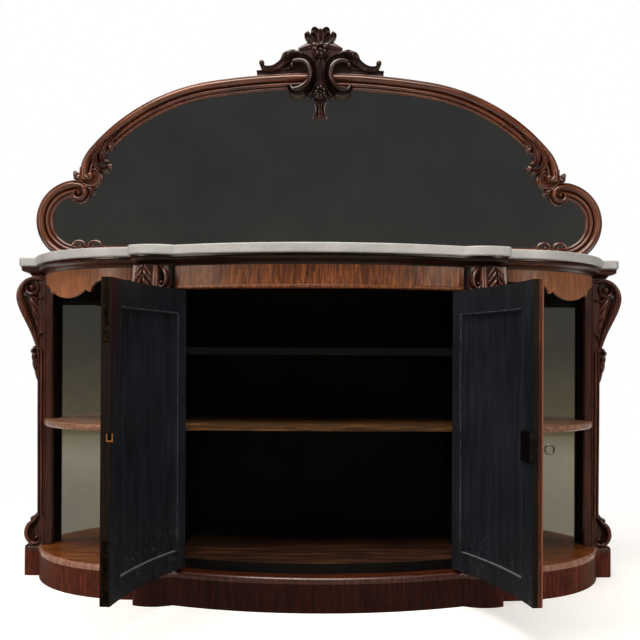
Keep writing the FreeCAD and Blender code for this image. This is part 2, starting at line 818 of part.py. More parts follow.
def build_consoles():
    """Scroll brackets on the outside of the corner posts."""
    post = size.post_outer
    volute = size.console_volute
    cx, cz = size.console_volute_x, size.console_volute_height
    strap = size.console_strap
    neck = spot(size.console_neck_x, size.console_neck_height)
    shin = spot(size.console_shin_x, size.console_shin_height)
    tail = spot(post, size.console_tail_height)
    outermost = spot(size.console_outer_x, cz)
    crown = spot(cx, size.carcass_top)
    bend = math.radians(size.console_bend)
    shoulder = spot(cx + (size.console_outer_x - cx) * math.cos(bend),
                    cz + (size.carcass_top - cz) * math.sin(bend))
    body = upright_pad("console_body", trace(
        spot(post, size.carcass_top), crown, (shoulder, outermost), (neck, shin), tail),
        "post_front - console_depth", "post_front")
    inner_neck = spot(neck.x - strap, neck.y)
    inner_shin = spot(shin.x - strap, shin.y)
    inner_outermost = spot(outermost.x - strap, outermost.y)
    face = upright_pad("console_strap_body", trace(
        spot(cx, size.carcass_top), (shoulder, outermost), (neck, shin), tail,
        inner_shin, (inner_neck, inner_outermost), spot(cx, cz)), "post_front", "post_front + console_face")
    disc = round_bar("console_volute_disc", cx, size.post_front, cz,
                     "console_volute", "console_face", FORWARDS)
    eye = round_bar("console_eye_boss", cx, size.post_front, cz, "console_eye",
                    "console_face + console_eye_proud", FORWARDS)
    flower = round_bar("console_flower", size.flower_x, size.post_front, size.flower_height,
                       "flower_radius", "console_face", FORWARDS)
    half, tip = size.drop_width * HALF, size.drop_tip_width * HALF
    drop = upright_pad("console_drop", trace(
        spot(size.flower_x - half, size.flower_height), spot(size.flower_x + half, size.flower_height),
        spot(post, size.drop_bottom), spot(post - 2 * tip, size.drop_bottom)),
        "post_front", "post_front + console_face")
    side_drop = upright_pad("console_side_drop", trace(
        spot(post, size.flower_height), spot(size.flower_x + half, size.flower_height),
        spot(post, size.drop_bottom)), "post_front - console_depth", "post_front")
    foot_x, foot_z = size.foot_scroll_x, size.foot_scroll_height
    deck_top = size.plinth_height + size.deck_thickness
    sole = math.sqrt(size.foot_scroll ** 2 - (foot_z - deck_top) ** 2) if (
        foot_z - deck_top < size.foot_scroll) else size.foot_scroll * HALF
    foot = upright_pad("console_foot", trace(
        spot(post, deck_top), spot(foot_x + sole, deck_top),
        (spot(foot_x + size.foot_scroll, foot_z), spot(foot_x + size.foot_curl, foot_z + size.foot_scroll)),
        spot(size.foot_curl_x + size.foot_curl, size.foot_curl_height),
        (spot(size.foot_curl_x, size.foot_curl_height + size.foot_curl),
         spot(post, size.foot_cove_height))),
        "post_front - console_depth", "post_front")
    foot_face = round_bar("console_foot_scroll", foot_x, size.post_front, foot_z,
                          "foot_scroll", "console_face", FORWARDS)
    foot_eye = round_bar("console_foot_eye", foot_x, size.post_front, foot_z,
                         "foot_curl", "console_face + console_eye_proud", FORWARDS)
    upper = joined("console_upper", [body, face, disc, eye, flower, drop, side_drop])
    lower = joined("console_lower", [foot, foot_face, foot_eye])
    pair("console", group("console_group", [upper, lower]))


def build_backs_and_shelves():
    back = "back_recess + back_thickness"
    high = "carcass_top - (%s)" % DECK_TOP
    side = "half_opening + side_thickness"
    bay = "post_inner - (%s)" % side
    centre = board("centre_back", "-half_opening", "back_recess", DECK_TOP + " + bottom_thickness",
                   "2 * half_opening", "back_thickness",
                   "carcass_top - (%s) - bottom_thickness" % DECK_TOP)
    flank = board("side_back", side, "back_recess", DECK_TOP, bay, "back_thickness", high)
    node("back_boards", group("back_boards", [centre, flank, mirrored("left_side_back", flank)]))

    plate_top = "side_mirror_top + slip_width"
    plate = board("side_plate", side, back, DECK_TOP, bay, "side_plate_thickness",
                  "%s - (%s)" % (plate_top, DECK_TOP))
    pair("side_mirror", plate)

    near = size.half_opening + size.side_thickness
    far = size.post_inner
    rear = size.back_recess + size.back_thickness + size.side_plate_thickness
    width = size.slip_width
    bulge = width * math.sqrt(HALF)
    deck_top = size.plinth_height + size.deck_thickness
    slips = []
    for name, edge, way in (("inner", near, 1), ("outer", far, -1)):
        slip = new_body(name + "_slip")
        pad(slip, TOP_ROLE, trace(
            at(edge, rear), at(edge, rear + width),
            (at(edge + way * bulge, rear + bulge), at(edge + way * width, rear))),
            "side_mirror_top - (%s)" % DECK_TOP)
        bind(slip, "Placement.Base.z", DECK_TOP)
        slips.append(slip)
    head_slip = new_body("head_slip")
    line = size.back_line - rear
    top = size.side_mirror_top + width
    pad(head_slip, SIDE_ROLE, trace(
        Vector(line, top, 0), Vector(line - width, top, 0),
        (Vector(line - bulge, top - bulge, 0), Vector(line, top - width, 0))), bay)
    bind(head_slip, "Placement.Base.x", side)
    right_slips = group("right_slips", slips + [head_slip])
    node("mirror_slips", group("slips", [right_slips, mirrored("left_slips", right_slips)]))

    plan = Plan(-size.end_shelf_inset)
    outer = size.half_opening + size.pilaster_width
    reach = size.post_front - size.end_centre_depth
    tip = size.end_centre_x + math.sqrt(plan.end_radius ** 2 - reach ** 2)
    shelf = new_body("end_shelf_body")
    pad(shelf, TOP_ROLE, trace(
        at(near, rear), at(near, size.pilaster_back_depth), at(outer, size.pilaster_back_depth),
        at(outer, plan.end_at(outer)),
        (plan.place(plan.end_between(outer, tip)), at(tip, size.post_front)),
        at(far, size.post_front), at(far, rear)), "end_shelf_thickness")
    bind(shelf, "Placement.Base.z", "end_shelf_top - end_shelf_thickness")
    feature = shelf.Tip

    def front_edges(edge, middle):
        on_arc = abs(math.hypot(middle.x - size.end_centre_x,
                                size.back_line - middle.y - size.end_centre_depth) - plan.end_radius)
        return on_arc < TINY and abs(edge.Vertexes[0].Z - edge.Vertexes[-1].Z) < TINY

    round_edges(shelf, feature, "end_shelf_round", front_edges)
    pair("end_shelf", cut("end_shelf_cut", shelf, *slips))

    depth = "shelf_front_depth - (%s)" % back
    shelves = [board(name + "_shelf", "-half_opening", back, name + "_shelf_top - shelf_thickness",
                     "2 * half_opening", depth, "shelf_thickness") for name in ("upper", "lower")]
    node("cupboard_shelves", group("cupboard_shelves", shelves))
    bearers = []
    for name in ("upper", "lower"):
        bearer = board(name + "_bearer", "half_opening - bearer_section", back,
                       name + "_shelf_top - shelf_thickness - bearer_section",
                       "bearer_section", depth + " - bearer_setback", "bearer_section")
        bearers += [bearer, mirrored("left_" + name + "_bearer", bearer)]
    node("shelf_bearers", group("shelf_bearers", bearers))


def bolt_place():
    """Axis of the flush bolts: across and depth, with the doors closed."""
    return (-(size.door_gap * HALF + size.bolt_setback), size.bolt_depth)


def build_friezes():
    outer = size.bow_radius - size.frieze_setback
    inner = outer - size.frieze_thickness
    half = size.half_opening
    fascia, _ = bowed("frieze_board", inner, outer, -half, half, "frieze_bottom",
                      "carcass_top - frieze_bottom")
    bead, feature = bowed("cock_bead", inner, outer + size.cock_bead_proud, -half, half,
                          "frieze_bottom - cock_bead_height", "cock_bead_height")
    front = size.bow_front - size.bow_radius + outer + size.cock_bead_proud

    def bead_edges(edge, middle):
        on_front = abs(size.back_line - middle.y - front) < TINY
        return on_front and abs(middle.x) < TINY

    round_edges(bead, feature, "cock_bead_round", bead_edges)
    whole = joined("frieze_and_bead", [fascia, bead])
    across, depth = bolt_place()
    socket = round_bar("top_socket", across, depth, size.frieze_bottom - size.cock_bead_height,
                       "bolt_radius + socket_clearance", "cock_bead_height + socket_depth", UP)
    node("centre_frieze", cut("centre_frieze", whole, socket))

    plan = Plan(-size.frieze_setback)
    reach = size.post_front - size.end_centre_depth
    inner = plan.end_radius - size.end_frieze_thickness
    tip = [size.end_centre_x + math.sqrt(radius ** 2 - reach ** 2) for radius in (inner, plan.end_radius)]
    start = size.half_opening + size.pilaster_width
    inner_plan = Plan(-size.frieze_setback - size.end_frieze_thickness)
    band = new_body("end_frieze_band")
    pad(band, TOP_ROLE, trace(
        at(start, inner_plan.end_at(start)),
        (plan.place(inner_plan.end_between(start, tip[0])), at(tip[0], size.post_front)),
        at(tip[1], size.post_front),
        (plan.place(plan.end_between(start, tip[1])), at(start, plan.end_at(start)))),
        "carcass_top - end_frieze_lobe")
    bind(band, "Placement.Base.z", "end_frieze_lobe")
    drop = {name: size.carcass_top - size.end_frieze_height * share
            for name, share in FRIEZE_DROP_SHARES.items()}
    place = {name: start + (tip[1] - start) * share for name, share in FRIEZE_ACROSS_SHARES.items()}
    arch, tooth, cove = drop["arch"], drop["tooth"], drop["cove"]
    near, far = place["near_tooth"], place["far_tooth"]
    width, rise = size.tooth_width, size.tooth_rise
    edge = tip[1] + TINY
    scallop = upright_pad("scallop", trace(
        spot(start, arch), spot(place["arch"], arch),
        (spot(near - place["cove"] + far, cove), spot(near, tooth)), spot(near + width, tooth),
        spot(near + 2 * width, tooth + rise),
        (spot(place["lobe"], size.end_frieze_lobe), spot(far - width, tooth + rise)), spot(far, tooth),
        (spot(place["cove"], cove), spot(edge, arch + HALF * rise)),
        spot(edge, size.carcass_top), spot(start, size.carcass_top)), "0", "ear_front + end_radius")
    frieze = doc.addObject("Part::Common", "end_frieze_common")
    frieze.Base, frieze.Tool = band, scallop
    pair("end_frieze", frieze)


def build_top():
    inner = Plan(size.cornice_proud - size.cornice_width)
    core = new_body("sub_top_body")
    pad(core, TOP_ROLE, inner.whole(), "cornice_height")
    bind(core, "Placement.Base.z", "carcass_top")
    node("sub_top", core)

    body = new_body("cornice_body")
    reach = size.cornice_proud + size.cornice_foot
    sections = [sketch_in(body, TOP_ROLE, Plan(reach * out - size.cornice_foot).whole(),
                          "(cornice_height - cornice_lip) * %s" % up) for up, out in CORNICE_SHARES]
    loft = body.newObject("PartDesign::AdditiveLoft", "cornice_loft")
    loft.Profile = sections[0]
    loft.Sections = sections[1:]
    loft.Ruled = True
    lip = body.newObject("PartDesign::Pad", "cornice_lip_pad")
    lip.Profile = sketch_in(body, TOP_ROLE, Plan(size.cornice_proud).whole(), "cornice_height - cornice_lip")
    bind(lip, "Length", "cornice_lip")
    bind(body, "Placement.Base.z", "carcass_top")
    node("cornice", cut("cornice_cut", body, core))

    slab, feature = serpentine_slab("marble_body", size.marble_overhang,
                                    "carcass_top + cornice_height", "marble_thickness")
    feature = round_edges(slab, feature, "marble_edge_round", level_at(size.marble_thickness))
    round_edges(slab, feature, "marble_edge_round", level_at(0.0))
    node("marble_top", slab)


def moulding_section(width, forwards, sideways):
    """Section of the mirror's moulding: flat edge, large bead, groove, small bead, bevel."""
    point = lambda across, proud: forwards * proud + sideways * across
    deep = size.moulding_depth
    bead_start = size.outer_fillet_width
    bead_end = bead_start + size.bead_width
    small_start = bead_end + size.groove_width
    small_end = small_start + size.small_bead_width
    zero = point(0, 0)
    return zero, (
        point(0, size.outer_fillet_depth), point(bead_start, size.outer_fillet_depth),
        (point((bead_start + bead_end) * HALF, deep), point(bead_end, size.outer_fillet_depth)),
        point(bead_end, size.groove_depth), point(small_start, size.groove_depth),
        (point((small_start + small_end) * HALF, size.small_bead_depth), point(small_end, size.groove_depth)),
        point(width, size.sight_lip), point(width, 0))


class Arch:
    """The three-centred arch of the mirror, moved inwards by an inset."""

    def __init__(self, inset=0.0):
        first = math.radians(size.crown_angle)
        second = first + math.radians(size.haunch_angle)
        rows = ((math.sin(second) - math.sin(first), 1 - math.sin(second)),
                (math.cos(first) - math.cos(second), math.cos(second)))
        rise = size.arch_top - size.arch_spring
        wanted = (size.arch_half - size.crown_radius * math.sin(first),
                  rise - size.crown_radius * (1 - math.cos(first)))
        scale = rows[0][0] * rows[1][1] - rows[0][1] * rows[1][0]
        haunch = (wanted[0] * rows[1][1] - wanted[1] * rows[0][1]) / scale
        shoulder = (wanted[1] * rows[0][0] - wanted[0] * rows[1][0]) / scale
        self.turns = (0.0, first, second, math.pi * HALF)
        self.radii = (size.crown_radius - inset, haunch - inset, shoulder - inset)
        self.top = size.arch_top - inset

    def half(self, side=1):
        """The arcs from the top to the spring line, as (middle, end) pairs."""
        steps = []
        x, z = 0.0, self.top
        for radius, start, stop in zip(self.radii, self.turns, self.turns[1:]):
            middle = (start + stop) * HALF
            move = lambda turn: spot(side * (x + radius * (math.sin(turn) - math.sin(start))),
                                     z - radius * (math.cos(start) - math.cos(turn)))
            end = move(stop)
            steps.append((move(middle), end))
            x, z = abs(end.x), end.y
        return steps

    def mirrored_half(self):
        """The left arcs from the spring line up to the top."""
        steps = self.half(-1)
        starts = [spot(0, self.top)] + [end for _, end in steps]
        return [(steps[index][0], starts[index]) for index in (2, 1, 0)]


def plate_outline(lap):
    """Outline of the mirror plate: the sight line of the mouldings moved outwards by a lap."""
    arch = Arch(size.frame_width - lap)
    base = size.mirror_foot + size.lobe_width - lap
    centre_x, centre_z = size.lobe_centre_x, size.mirror_foot + size.lobe_radius
    radius = size.lobe_radius - size.lobe_width + lap
    spring = arch.half()[-1][1]
    joint_z = centre_z + math.sqrt(radius ** 2 - (spring.x - centre_x) ** 2)
    steps = list(arch.half())
    steps.append(spot(spring.x, joint_z))
    steps.append((spot(centre_x + radius, centre_z), spot(centre_x, base)))
    steps.append(spot(-centre_x, base))
    steps.append((spot(-centre_x - radius, centre_z), spot(-spring.x, joint_z)))
    steps.append(spot(-spring.x, size.arch_spring))
    steps += arch.mirrored_half()
    return trace(spot(0, arch.top), *steps)


def spiral(centre_x, centre_z, radius, way, down):
    """Half circles that wind into a volute; way is the side that they start on."""
    curves = []
    here = centre_x + way * radius
    side = way
    reach = radius
    for _ in range(VOLUTE_HALF_TURNS):
        tail = reach - size.volute_pitch * HALF
        middle = here - side * (reach + tail) * HALF
        bend = (reach + tail) * HALF
        end = middle - side * bend
        curves.append(Part.Arc(spot(here, centre_z), spot(middle, centre_z + down * bend),
                               spot(end, centre_z)))
        here, side, reach, down = end, -side, tail, -down
    return curves


def volute(name, centre_x, centre_z, height, radius, way, down):
    """Round plate with a spiral ridge and an eye, on the face of the ground frame."""
    front = size.ground_thickness
    plate = round_bar(name + "_plate", centre_x, front, centre_z, radius + " - volute_shoulder",
                      "volute_plate", FORWARDS)
    ridge = new_body(name + "_ridge")
    track = value(radius) - size.volute_shoulder - size.volute_ridge
    path = sketch_in(ridge, FRONT_ROLE, spiral(centre_x, centre_z, track, way, down))
    start = centre_x + way * track
    ring = Part.Circle(Vector(start, 0, 0), UP, size.volute_ridge)
    profile = sketch_in(ridge, TOP_ROLE, [ring], height)
    pipe = ridge.newObject("PartDesign::AdditivePipe", name + "_pipe")
    pipe.Profile = profile
    pipe.Spine = path
    bind(ridge, "Placement.Base.y", "back_line - ground_thickness - volute_plate")
    eye = round_bar(name + "_eye", centre_x, front, centre_z, "volute_eye",
                    "volute_plate + volute_eye_proud", FORWARDS)
    return [plate, ridge, eye]


def build_mirror():
    ground = "ground_thickness"
    inset = size.ground_inset
    arch = Arch(inset)
    bottom = size.mirror_foot
    centre_x, centre_z = size.lobe_centre_x, bottom + size.lobe_radius
    radius = size.lobe_radius - inset
    spring = arch.half()[-1][1]
    steps = list(arch.half())
    steps.append(spot(spring.x, centre_z + radius))
    steps.append(spot(centre_x, centre_z + radius))
    steps.append((spot(centre_x + radius, centre_z), spot(centre_x, centre_z - radius)))
    steps += [spot(centre_x, bottom), spot(-centre_x, bottom), spot(-centre_x, centre_z - radius)]
    steps.append((spot(-centre_x - radius, centre_z), spot(-centre_x, centre_z + radius)))
    steps.append(spot(-spring.x, centre_z + radius))
    steps.append(spot(-spring.x, size.arch_spring))
    steps += arch.mirrored_half()
    blank = upright_pad("ground_blank", trace(spot(0, arch.top), *steps), "0", ground)
    hole = upright_pad("ground_opening", plate_outline(size.rebate + size.mirror_clearance), "0", ground)
    node("mirror_ground_frame", cut("ground_cut", blank, hole))

    plate_back = "ground_thickness - mirror_plate_thickness"
    node("mirror_glass", upright_pad("mirror_plate", plate_outline(size.rebate), plate_back, ground))
    node("mirror_backboard", upright_pad(
        "mirror_board", plate_outline(size.rebate),
        plate_back + " - mirror_board_thickness", plate_back))

    body = new_body("arch_sweep")
    path = sketch_in(body, FRONT_ROLE, [])
    here = spot(0, Arch().top)
    for middle, end in Arch().half():
        path.addGeometry(Part.Arc(here, middle, end), False)
        here = end
    start, section = moulding_section(size.frame_width, Vector(-1, 0, 0), Vector(0, -1, 0))
    shift = Vector(0, size.arch_top, 0)
    moved = [tuple(p + shift for p in step) if isinstance(step, tuple) else step + shift for step in section]
    profile = sketch_in(body, SIDE_ROLE, trace(start + shift, *moved))
    pipe = body.newObject("PartDesign::AdditivePipe", "arch_pipe")
    pipe.Profile = profile
    pipe.Spine = path
    doc.recompute()
    other = body.newObject("PartDesign::Mirrored", "arch_mirrored")
    other.Originals = [pipe]
    plane = [feature for feature in body.Origin.OriginFeatures if feature.Role == SIDE_ROLE][0]
    other.MirrorPlane = (plane, [""])
    body.Tip = other
    bind(body, "Placement.Base.y", "back_line - ground_thickness")
    right = volute("arch_volute", size.arch_half - size.arch_volute, size.arch_spring, "arch_spring",
                   "arch_volute", 1, -1)
    right_half = joined("arch_volute_right", right)
    left_half = mirrored("arch_volute_left", right_half)
    arch_moulding = joined("arch_moulding_whole", [body, right_half, left_half])
    node("arch_moulding", arch_moulding)

    ring = new_body("lobe_ring")
    start, section = moulding_section(size.lobe_width, Vector(-1, 0, 0), Vector(0, 1, 0))
    shift = Vector(0, -size.lobe_radius, 0)
    moved = [tuple(p + shift for p in step) if isinstance(step, tuple) else step + shift for step in section]
    profile = sketch_in(ring, SIDE_ROLE, trace(start + shift, *moved))
    turn = ring.newObject("PartDesign::Revolution", "lobe_turn")
    turn.Profile = profile
    axis = [feature for feature in ring.Origin.OriginFeatures if feature.Role == "Y_Axis"][0]
    turn.ReferenceAxis = (axis, [""])
    turn.Angle = HALF_TURN
    turn.Reversed = True
    bind(ring, "Placement.Base.x", "lobe_centre_x")
    bind(ring, "Placement.Base.y", "back_line - ground_thickness")
    bind(ring, "Placement.Base.z", "mirror_foot + lobe_radius")
    top = centre_z + size.lobe_radius
    curl = volute("lobe_volute", centre_x, top - size.lobe_volute,
                  "mirror_foot + 2 * lobe_radius - lobe_volute",
                  "lobe_volute", -1, -1)
    lobe = joined("lobe_moulding_whole", [ring] + curl)
    pair("lobe_moulding", cut("lobe_moulding_cut", lobe, arch_moulding))

    rail = new_body("base_rail")
    start, section = moulding_section(size.lobe_width, Vector(-1, 0, 0), Vector(0, 1, 0))
    pad(rail, SIDE_ROLE, trace(start, *section), "2 * lobe_centre_x")
    bind(rail, "Placement.Base.x", "-lobe_centre_x")
    bind(rail, "Placement.Base.y", "back_line - ground_thickness")
    bind(rail, "Placement.Base.z", "mirror_foot")
    node("mirror_base_moulding", rail)
    return arch_moulding


def ring_part(name, centre_x, centre_z, depth, ring, tube, start, turn):
    """Part of a ring that lies parallel to the front: a C-scroll or a curl."""
    torus = doc.addObject("Part::Torus", name)
    bind(torus, "Radius1", ring)
    bind(torus, "Radius2", tube)
    torus.Angle3 = turn
    torus.Placement = Placement(
        at(centre_x, depth, centre_z), Rotation(ACROSS, QUARTER_TURN) * Rotation(UP, start))
    return torus


def build_carving(arch_moulding):
    """Crest, leaves and curls: their silhouettes and main forms."""
    face = size.ground_thickness + size.moulding_depth
    height = size.crest_tip - size.crest_base
    outline = [spot(size.crest_half * out, size.crest_base + height * up) for out, up in CREST_SHARES]
    start = spot(0, size.crest_tip)
    steps = []
    here = start
    for index, point in enumerate(outline[:-1]):
        sag = CREST_BULGE_SHARE if index % 2 == 0 else -CREST_BULGE_SHARE
        span = point - here
        steps.append(((here + point) * HALF + Vector(-span.y, span.x, 0) * sag, point))
        here = point
    left = []
    flip = lambda p: spot(-p.x, p.y)
    backwards = [start] + [end for _, end in steps]
    for index in range(len(steps) - 1, -1, -1):
        left.append((flip(steps[index][0]), flip(backwards[index])))
    curves = trace(start, *(steps + [outline[-1], flip(outline[-1]), flip(outline[-2])] + left))
    board_part = upright_pad("crest_board", curves, "ground_thickness",
                             "ground_thickness + crest_thickness")
    scrolls = []
    for name, side in SIDES:
        turn = size.scroll_turn
        begin = size.scroll_start if side == RIGHT else HALF_TURN - size.scroll_start - turn
        scrolls.append(ring_part(name + "_scroll", side * size.scroll_centre_x, size.scroll_centre_height,
                                 face, "scroll_radius", "scroll_tube", begin, turn))
    shell = round_bar("crest_shell", 0, size.ground_thickness, size.shell_height, "shell_radius",
                      "moulding_depth", FORWARDS)
    husk_middle = (size.shell_height + size.husk_foot) * HALF
    drop = upright_pad("crest_drop_body", trace(
        spot(-size.shell_radius, size.shell_height), spot(size.shell_radius, size.shell_height),
        spot(size.husk_half, husk_middle), spot(0, size.husk_foot), spot(-size.husk_half, husk_middle)),
        "ground_thickness", "ground_thickness + leaf_thickness")
    stem = upright_pad("crest_stem", trace(
        spot(-size.shell_radius, size.shell_height), spot(-size.shell_radius, size.crest_base),
        spot(size.shell_radius, size.crest_base), spot(size.shell_radius, size.shell_height)),
        "ground_thickness", "ground_thickness + moulding_depth")
    rosette = round_bar("crest_rosette", 0, size.ground_thickness, size.rosette_height, "rosette_radius",
                        "crest_thickness + rosette_proud", FORWARDS)
    whole = joined("crest_whole", [board_part, shell, stem, drop, rosette] + scrolls)
    node("crest", cut("crest_cut", whole, arch_moulding))

    base, outer = size.leaf_base_x, size.leaf_outer_x
    leaf_middle = (size.leaf_base_height + size.leaf_foot) * HALF
    leaf = upright_pad("arch_leaf", trace(
        spot(base, size.leaf_base_height),
        (spot(outer, leaf_middle), spot(outer - size.leaf_width, size.leaf_foot)),
        (spot(outer - 2 * size.leaf_width, leaf_middle), spot(base, size.leaf_base_height))),
        "ground_thickness", "ground_thickness + leaf_thickness")
    leaf_cut = cut("arch_leaf_cut", leaf, arch_moulding)
    spring = size.arch_spring
    foot = size.mirror_foot + 2 * size.lobe_radius
    spur = upright_pad("spur", trace(
        spot(size.arch_half, foot), spot(size.arch_half, spring),
        (spot(size.spur_x, spring), spot(size.spur_x, foot + size.spur_height)),
        (spot(size.spur_x + size.spur_width, foot + size.spur_height * HALF),
         spot(size.spur_x + size.spur_width * HALF, foot))),
        "ground_thickness - volute_plate", "ground_thickness + volute_plate")
    pair("frame_leaf", group("frame_leaf", [leaf_cut, cut("spur_cut", spur, NODES["right_lobe_moulding"])]))

    curls = []
    seat = size.mirror_foot + size.lobe_width
    depth = size.ground_thickness + size.curl_tube
    for name, way in (("inner", -1), ("outer", 1)):
        curl = ring_part(name + "_curl", size.curl_centre_x + way * size.curl_spacing * HALF, seat, depth,
                         "curl_radius", "curl_tube", 0, HALF_TURN)
        curls += [curl, mirrored("left_" + name + "_curl", curl)]
    node("base_curls", group("base_curls", curls))


def hinge_axis(side):
    """Axis of a door's hinges: just in front of the door's outer face, half way across the gap."""
    edge = size.half_opening - size.door_gap
    face = depth_on(0, size.bow_front - size.bow_radius, door_outer(), edge)
    return (side * (size.half_opening - size.door_gap * HALF),
            face + size.knuckle_radius + size.knuckle_clearance)


def swung(label, obj, side):
    """A piece of a door, turned from the closed door to the open one."""
    across, depth = hinge_axis(side)
    angle = size.right_open_angle if side == RIGHT else size.left_open_angle
    moved = group(label, [obj])
    moved.Placement = Placement(Vector(0, 0, 0), Rotation(UP, side * angle), at(across, depth))
    return node(label, moved)


def build_doors():
    near = size.door_gap * HALF
    far = size.half_opening - size.door_gap
    inner, outer = door_inner(), door_outer()
    slab, _ = bowed("door_slab", inner, outer, near, far, "door_bottom", "door_top - door_bottom")
    left, right = near + size.meeting_stile, far - size.hinge_stile
    opening = board("door_opening", "door_gap / 2 + meeting_stile", "0", "door_bottom + bottom_rail",
                    "half_opening - door_gap - hinge_stile - door_gap / 2 - meeting_stile",
                    "ear_front + end_radius + block_radius",
                    "door_top - top_rail - door_bottom - bottom_rail")
    tongue = size.panel_tongue
    panel_back = inner + size.panel_inset
    panel_front = panel_back + size.panel_thickness
    panel, _ = bowed("door_panel", panel_back, panel_front, left - tongue, right + tongue,
                     "door_bottom + bottom_rail - panel_tongue",
                     "door_top - top_rail - door_bottom - bottom_rail + 2 * panel_tongue")
    blank = cut("door_blank", slab, opening, panel)
    left_blank = mirrored("left_door_blank", blank)
    frame, feature = bowed("panel_frame", panel_front, outer + size.panel_moulding_proud, left, right,
                           "door_bottom + bottom_rail", "door_top - top_rail - door_bottom - bottom_rail")
    hole = board("panel_frame_hole", "door_gap / 2 + meeting_stile + panel_moulding", "0",
                 "door_bottom + bottom_rail + panel_moulding",
                 "half_opening - door_gap - hinge_stile - door_gap / 2 - meeting_stile - 2 * panel_moulding",
                 "ear_front + end_radius + block_radius",
                 "door_top - top_rail - door_bottom - bottom_rail - 2 * panel_moulding")
    moulding = cut("panel_moulding_cut", frame, hole)
    swung("right_door_panel", panel, RIGHT)
    swung("left_door_panel", mirrored("left_panel", panel), LEFT)
    swung("right_door_moulding", moulding, RIGHT)
    swung("left_door_moulding", mirrored("left_panel_moulding", moulding), LEFT)
    return blank, left_blank


def build_hinges(pilaster, blank, left_blank):
    """Two butt hinges a side: leaves in the gap, knuckles in front of the door's face."""
    across, depth = hinge_axis(RIGHT)
    door_side = "half_opening - door_gap"
    post_side = "half_opening - hinge_leaf"
    knuckle = (size.hinge_length - 2 * size.hinge_end_gap) / KNUCKLES
    knuckle_length = "(hinge_length - 2 * hinge_end_gap) / %d" % KNUCKLES
    post_leaves, door_leaves, post_screws, door_screws, pilots, door_pilots = [], [], [], [], [], []
    starts = {"lower": "door_bottom + hinge_inset", "upper": "door_top - hinge_inset - hinge_length"}
    for name, start in starts.items():
        base = {"lower": size.door_bottom + size.hinge_inset,
                "upper": size.door_top - size.hinge_inset - size.hinge_length}[name]
        ends = (base, base + size.hinge_length - knuckle)
        plate = board(name + "_post_plate", post_side, "hinge_plate_depth", start,
                      "hinge_leaf", "hinge_leaf_width", "hinge_length")
        parts = [plate]
        for index, low in enumerate(ends):
            barrel = round_bar("%s_post_barrel_%d" % (name, index), across, depth, low,
                               "knuckle_radius", knuckle_length, UP)
            neck = board("%s_post_neck_%d" % (name, index), post_side, "hinge_plate_depth",
                         "%s + %s" % (start, ("0", "hinge_length - " + knuckle_length)[index]),
                         "hinge_leaf", "hinge_leaf_width + hinge_plate_gap + knuckle_radius / 2",
                         knuckle_length)
            parts += [barrel, neck]
        pin = round_bar(name + "_pin", across, depth, base, "hinge_pin_radius", "hinge_length", UP)
        leaf = joined(name + "_post_leaf", parts + [pin])
        low = base + knuckle + size.hinge_end_gap
        barrel = round_bar(name + "_door_barrel", across, depth, low, "knuckle_radius", knuckle_length, UP)
        neck = board(name + "_door_neck", door_side, "hinge_plate_depth",
                     "%s + %s + hinge_end_gap" % (start, knuckle_length),
                     "hinge_leaf", "hinge_leaf_width + hinge_plate_gap + knuckle_radius / 2", knuckle_length)
        door_plate = board(name + "_door_plate", door_side, "hinge_plate_depth", start,
                           "hinge_leaf", "hinge_leaf_width", "hinge_length")
        bore = round_bar(name + "_bore", across, depth, base, "hinge_pin_radius + running_clearance",
                         "hinge_length", UP)
        door_leaf_blank = joined(name + "_door_leaf_blank", [door_plate, neck, barrel])
        door_leaf = cut(name + "_door_leaf", door_leaf_blank, bore)
        plate_middle = size.hinge_plate_depth + size.hinge_leaf_width * HALF
        for number in range(SCREWS):
            height = base + size.hinge_length * (number + HALF) / SCREWS
            label = "%s_post_screw_%d" % (name, number)
            face = size.half_opening - size.hinge_leaf
            post_screws.append(screw(label, face, plate_middle, height, ACROSS))
            label = "%s_door_screw_%d" % (name, number)
            face = size.half_opening - size.door_gap + size.hinge_leaf
            door_screws.append(screw(label, face, plate_middle, height, -ACROSS))
        post_leaves.append(leaf)
        door_leaves.append(door_leaf)
    screws = group("post_screws", post_screws)
    doors = group("door_screws", door_screws)
    leaves = group("post_leaves", post_leaves)
    drilled = cut("post_leaves_drilled", leaves, screws)
    left_drilled = mirrored("left_post_leaves", drilled)
    node("carcass_hinge_leaves", group("carcass_hinge_leaves", [drilled, left_drilled]))
    node("carcass_screws", group("carcass_screws", [screws, mirrored("left_post_screws", screws)]))
    door_drilled = cut("door_leaves_drilled", group("door_leaves", door_leaves), doors)
    swung("right_hinge_leaves", door_drilled, RIGHT)
    swung("left_hinge_leaves", mirrored("left_door_leaves", door_drilled), LEFT)
    swung("right_door_screws", doors, RIGHT)
    left_doors = mirrored("left_door_screws_closed", doors)
    swung("left_door_screws", left_doors, LEFT)
    pair("pilaster", cut("pilaster_drilled", pilaster, screws))
    return cut("right_frame_drilled", blank, doors), cut("left_frame_drilled", left_blank, left_doors)


def screw(name, across, depth, height, direction):
    """Countersunk screw: the head lies in the leaf, the shank in the wood behind it."""
    head = doc.addObject("Part::Cone", name + "_head")
    bind(head, "Radius1", "screw_radius")
    bind(head, "Radius2", "screw_shank")
    bind(head, "Height", "hinge_leaf")
    head.Placement = Placement(at(across, depth, height), Rotation(UP, direction))
    shank = round_bar(name + "_shank", across, depth, height, "screw_shank", "screw_length", direction)
    return joined(name, [head, shank])


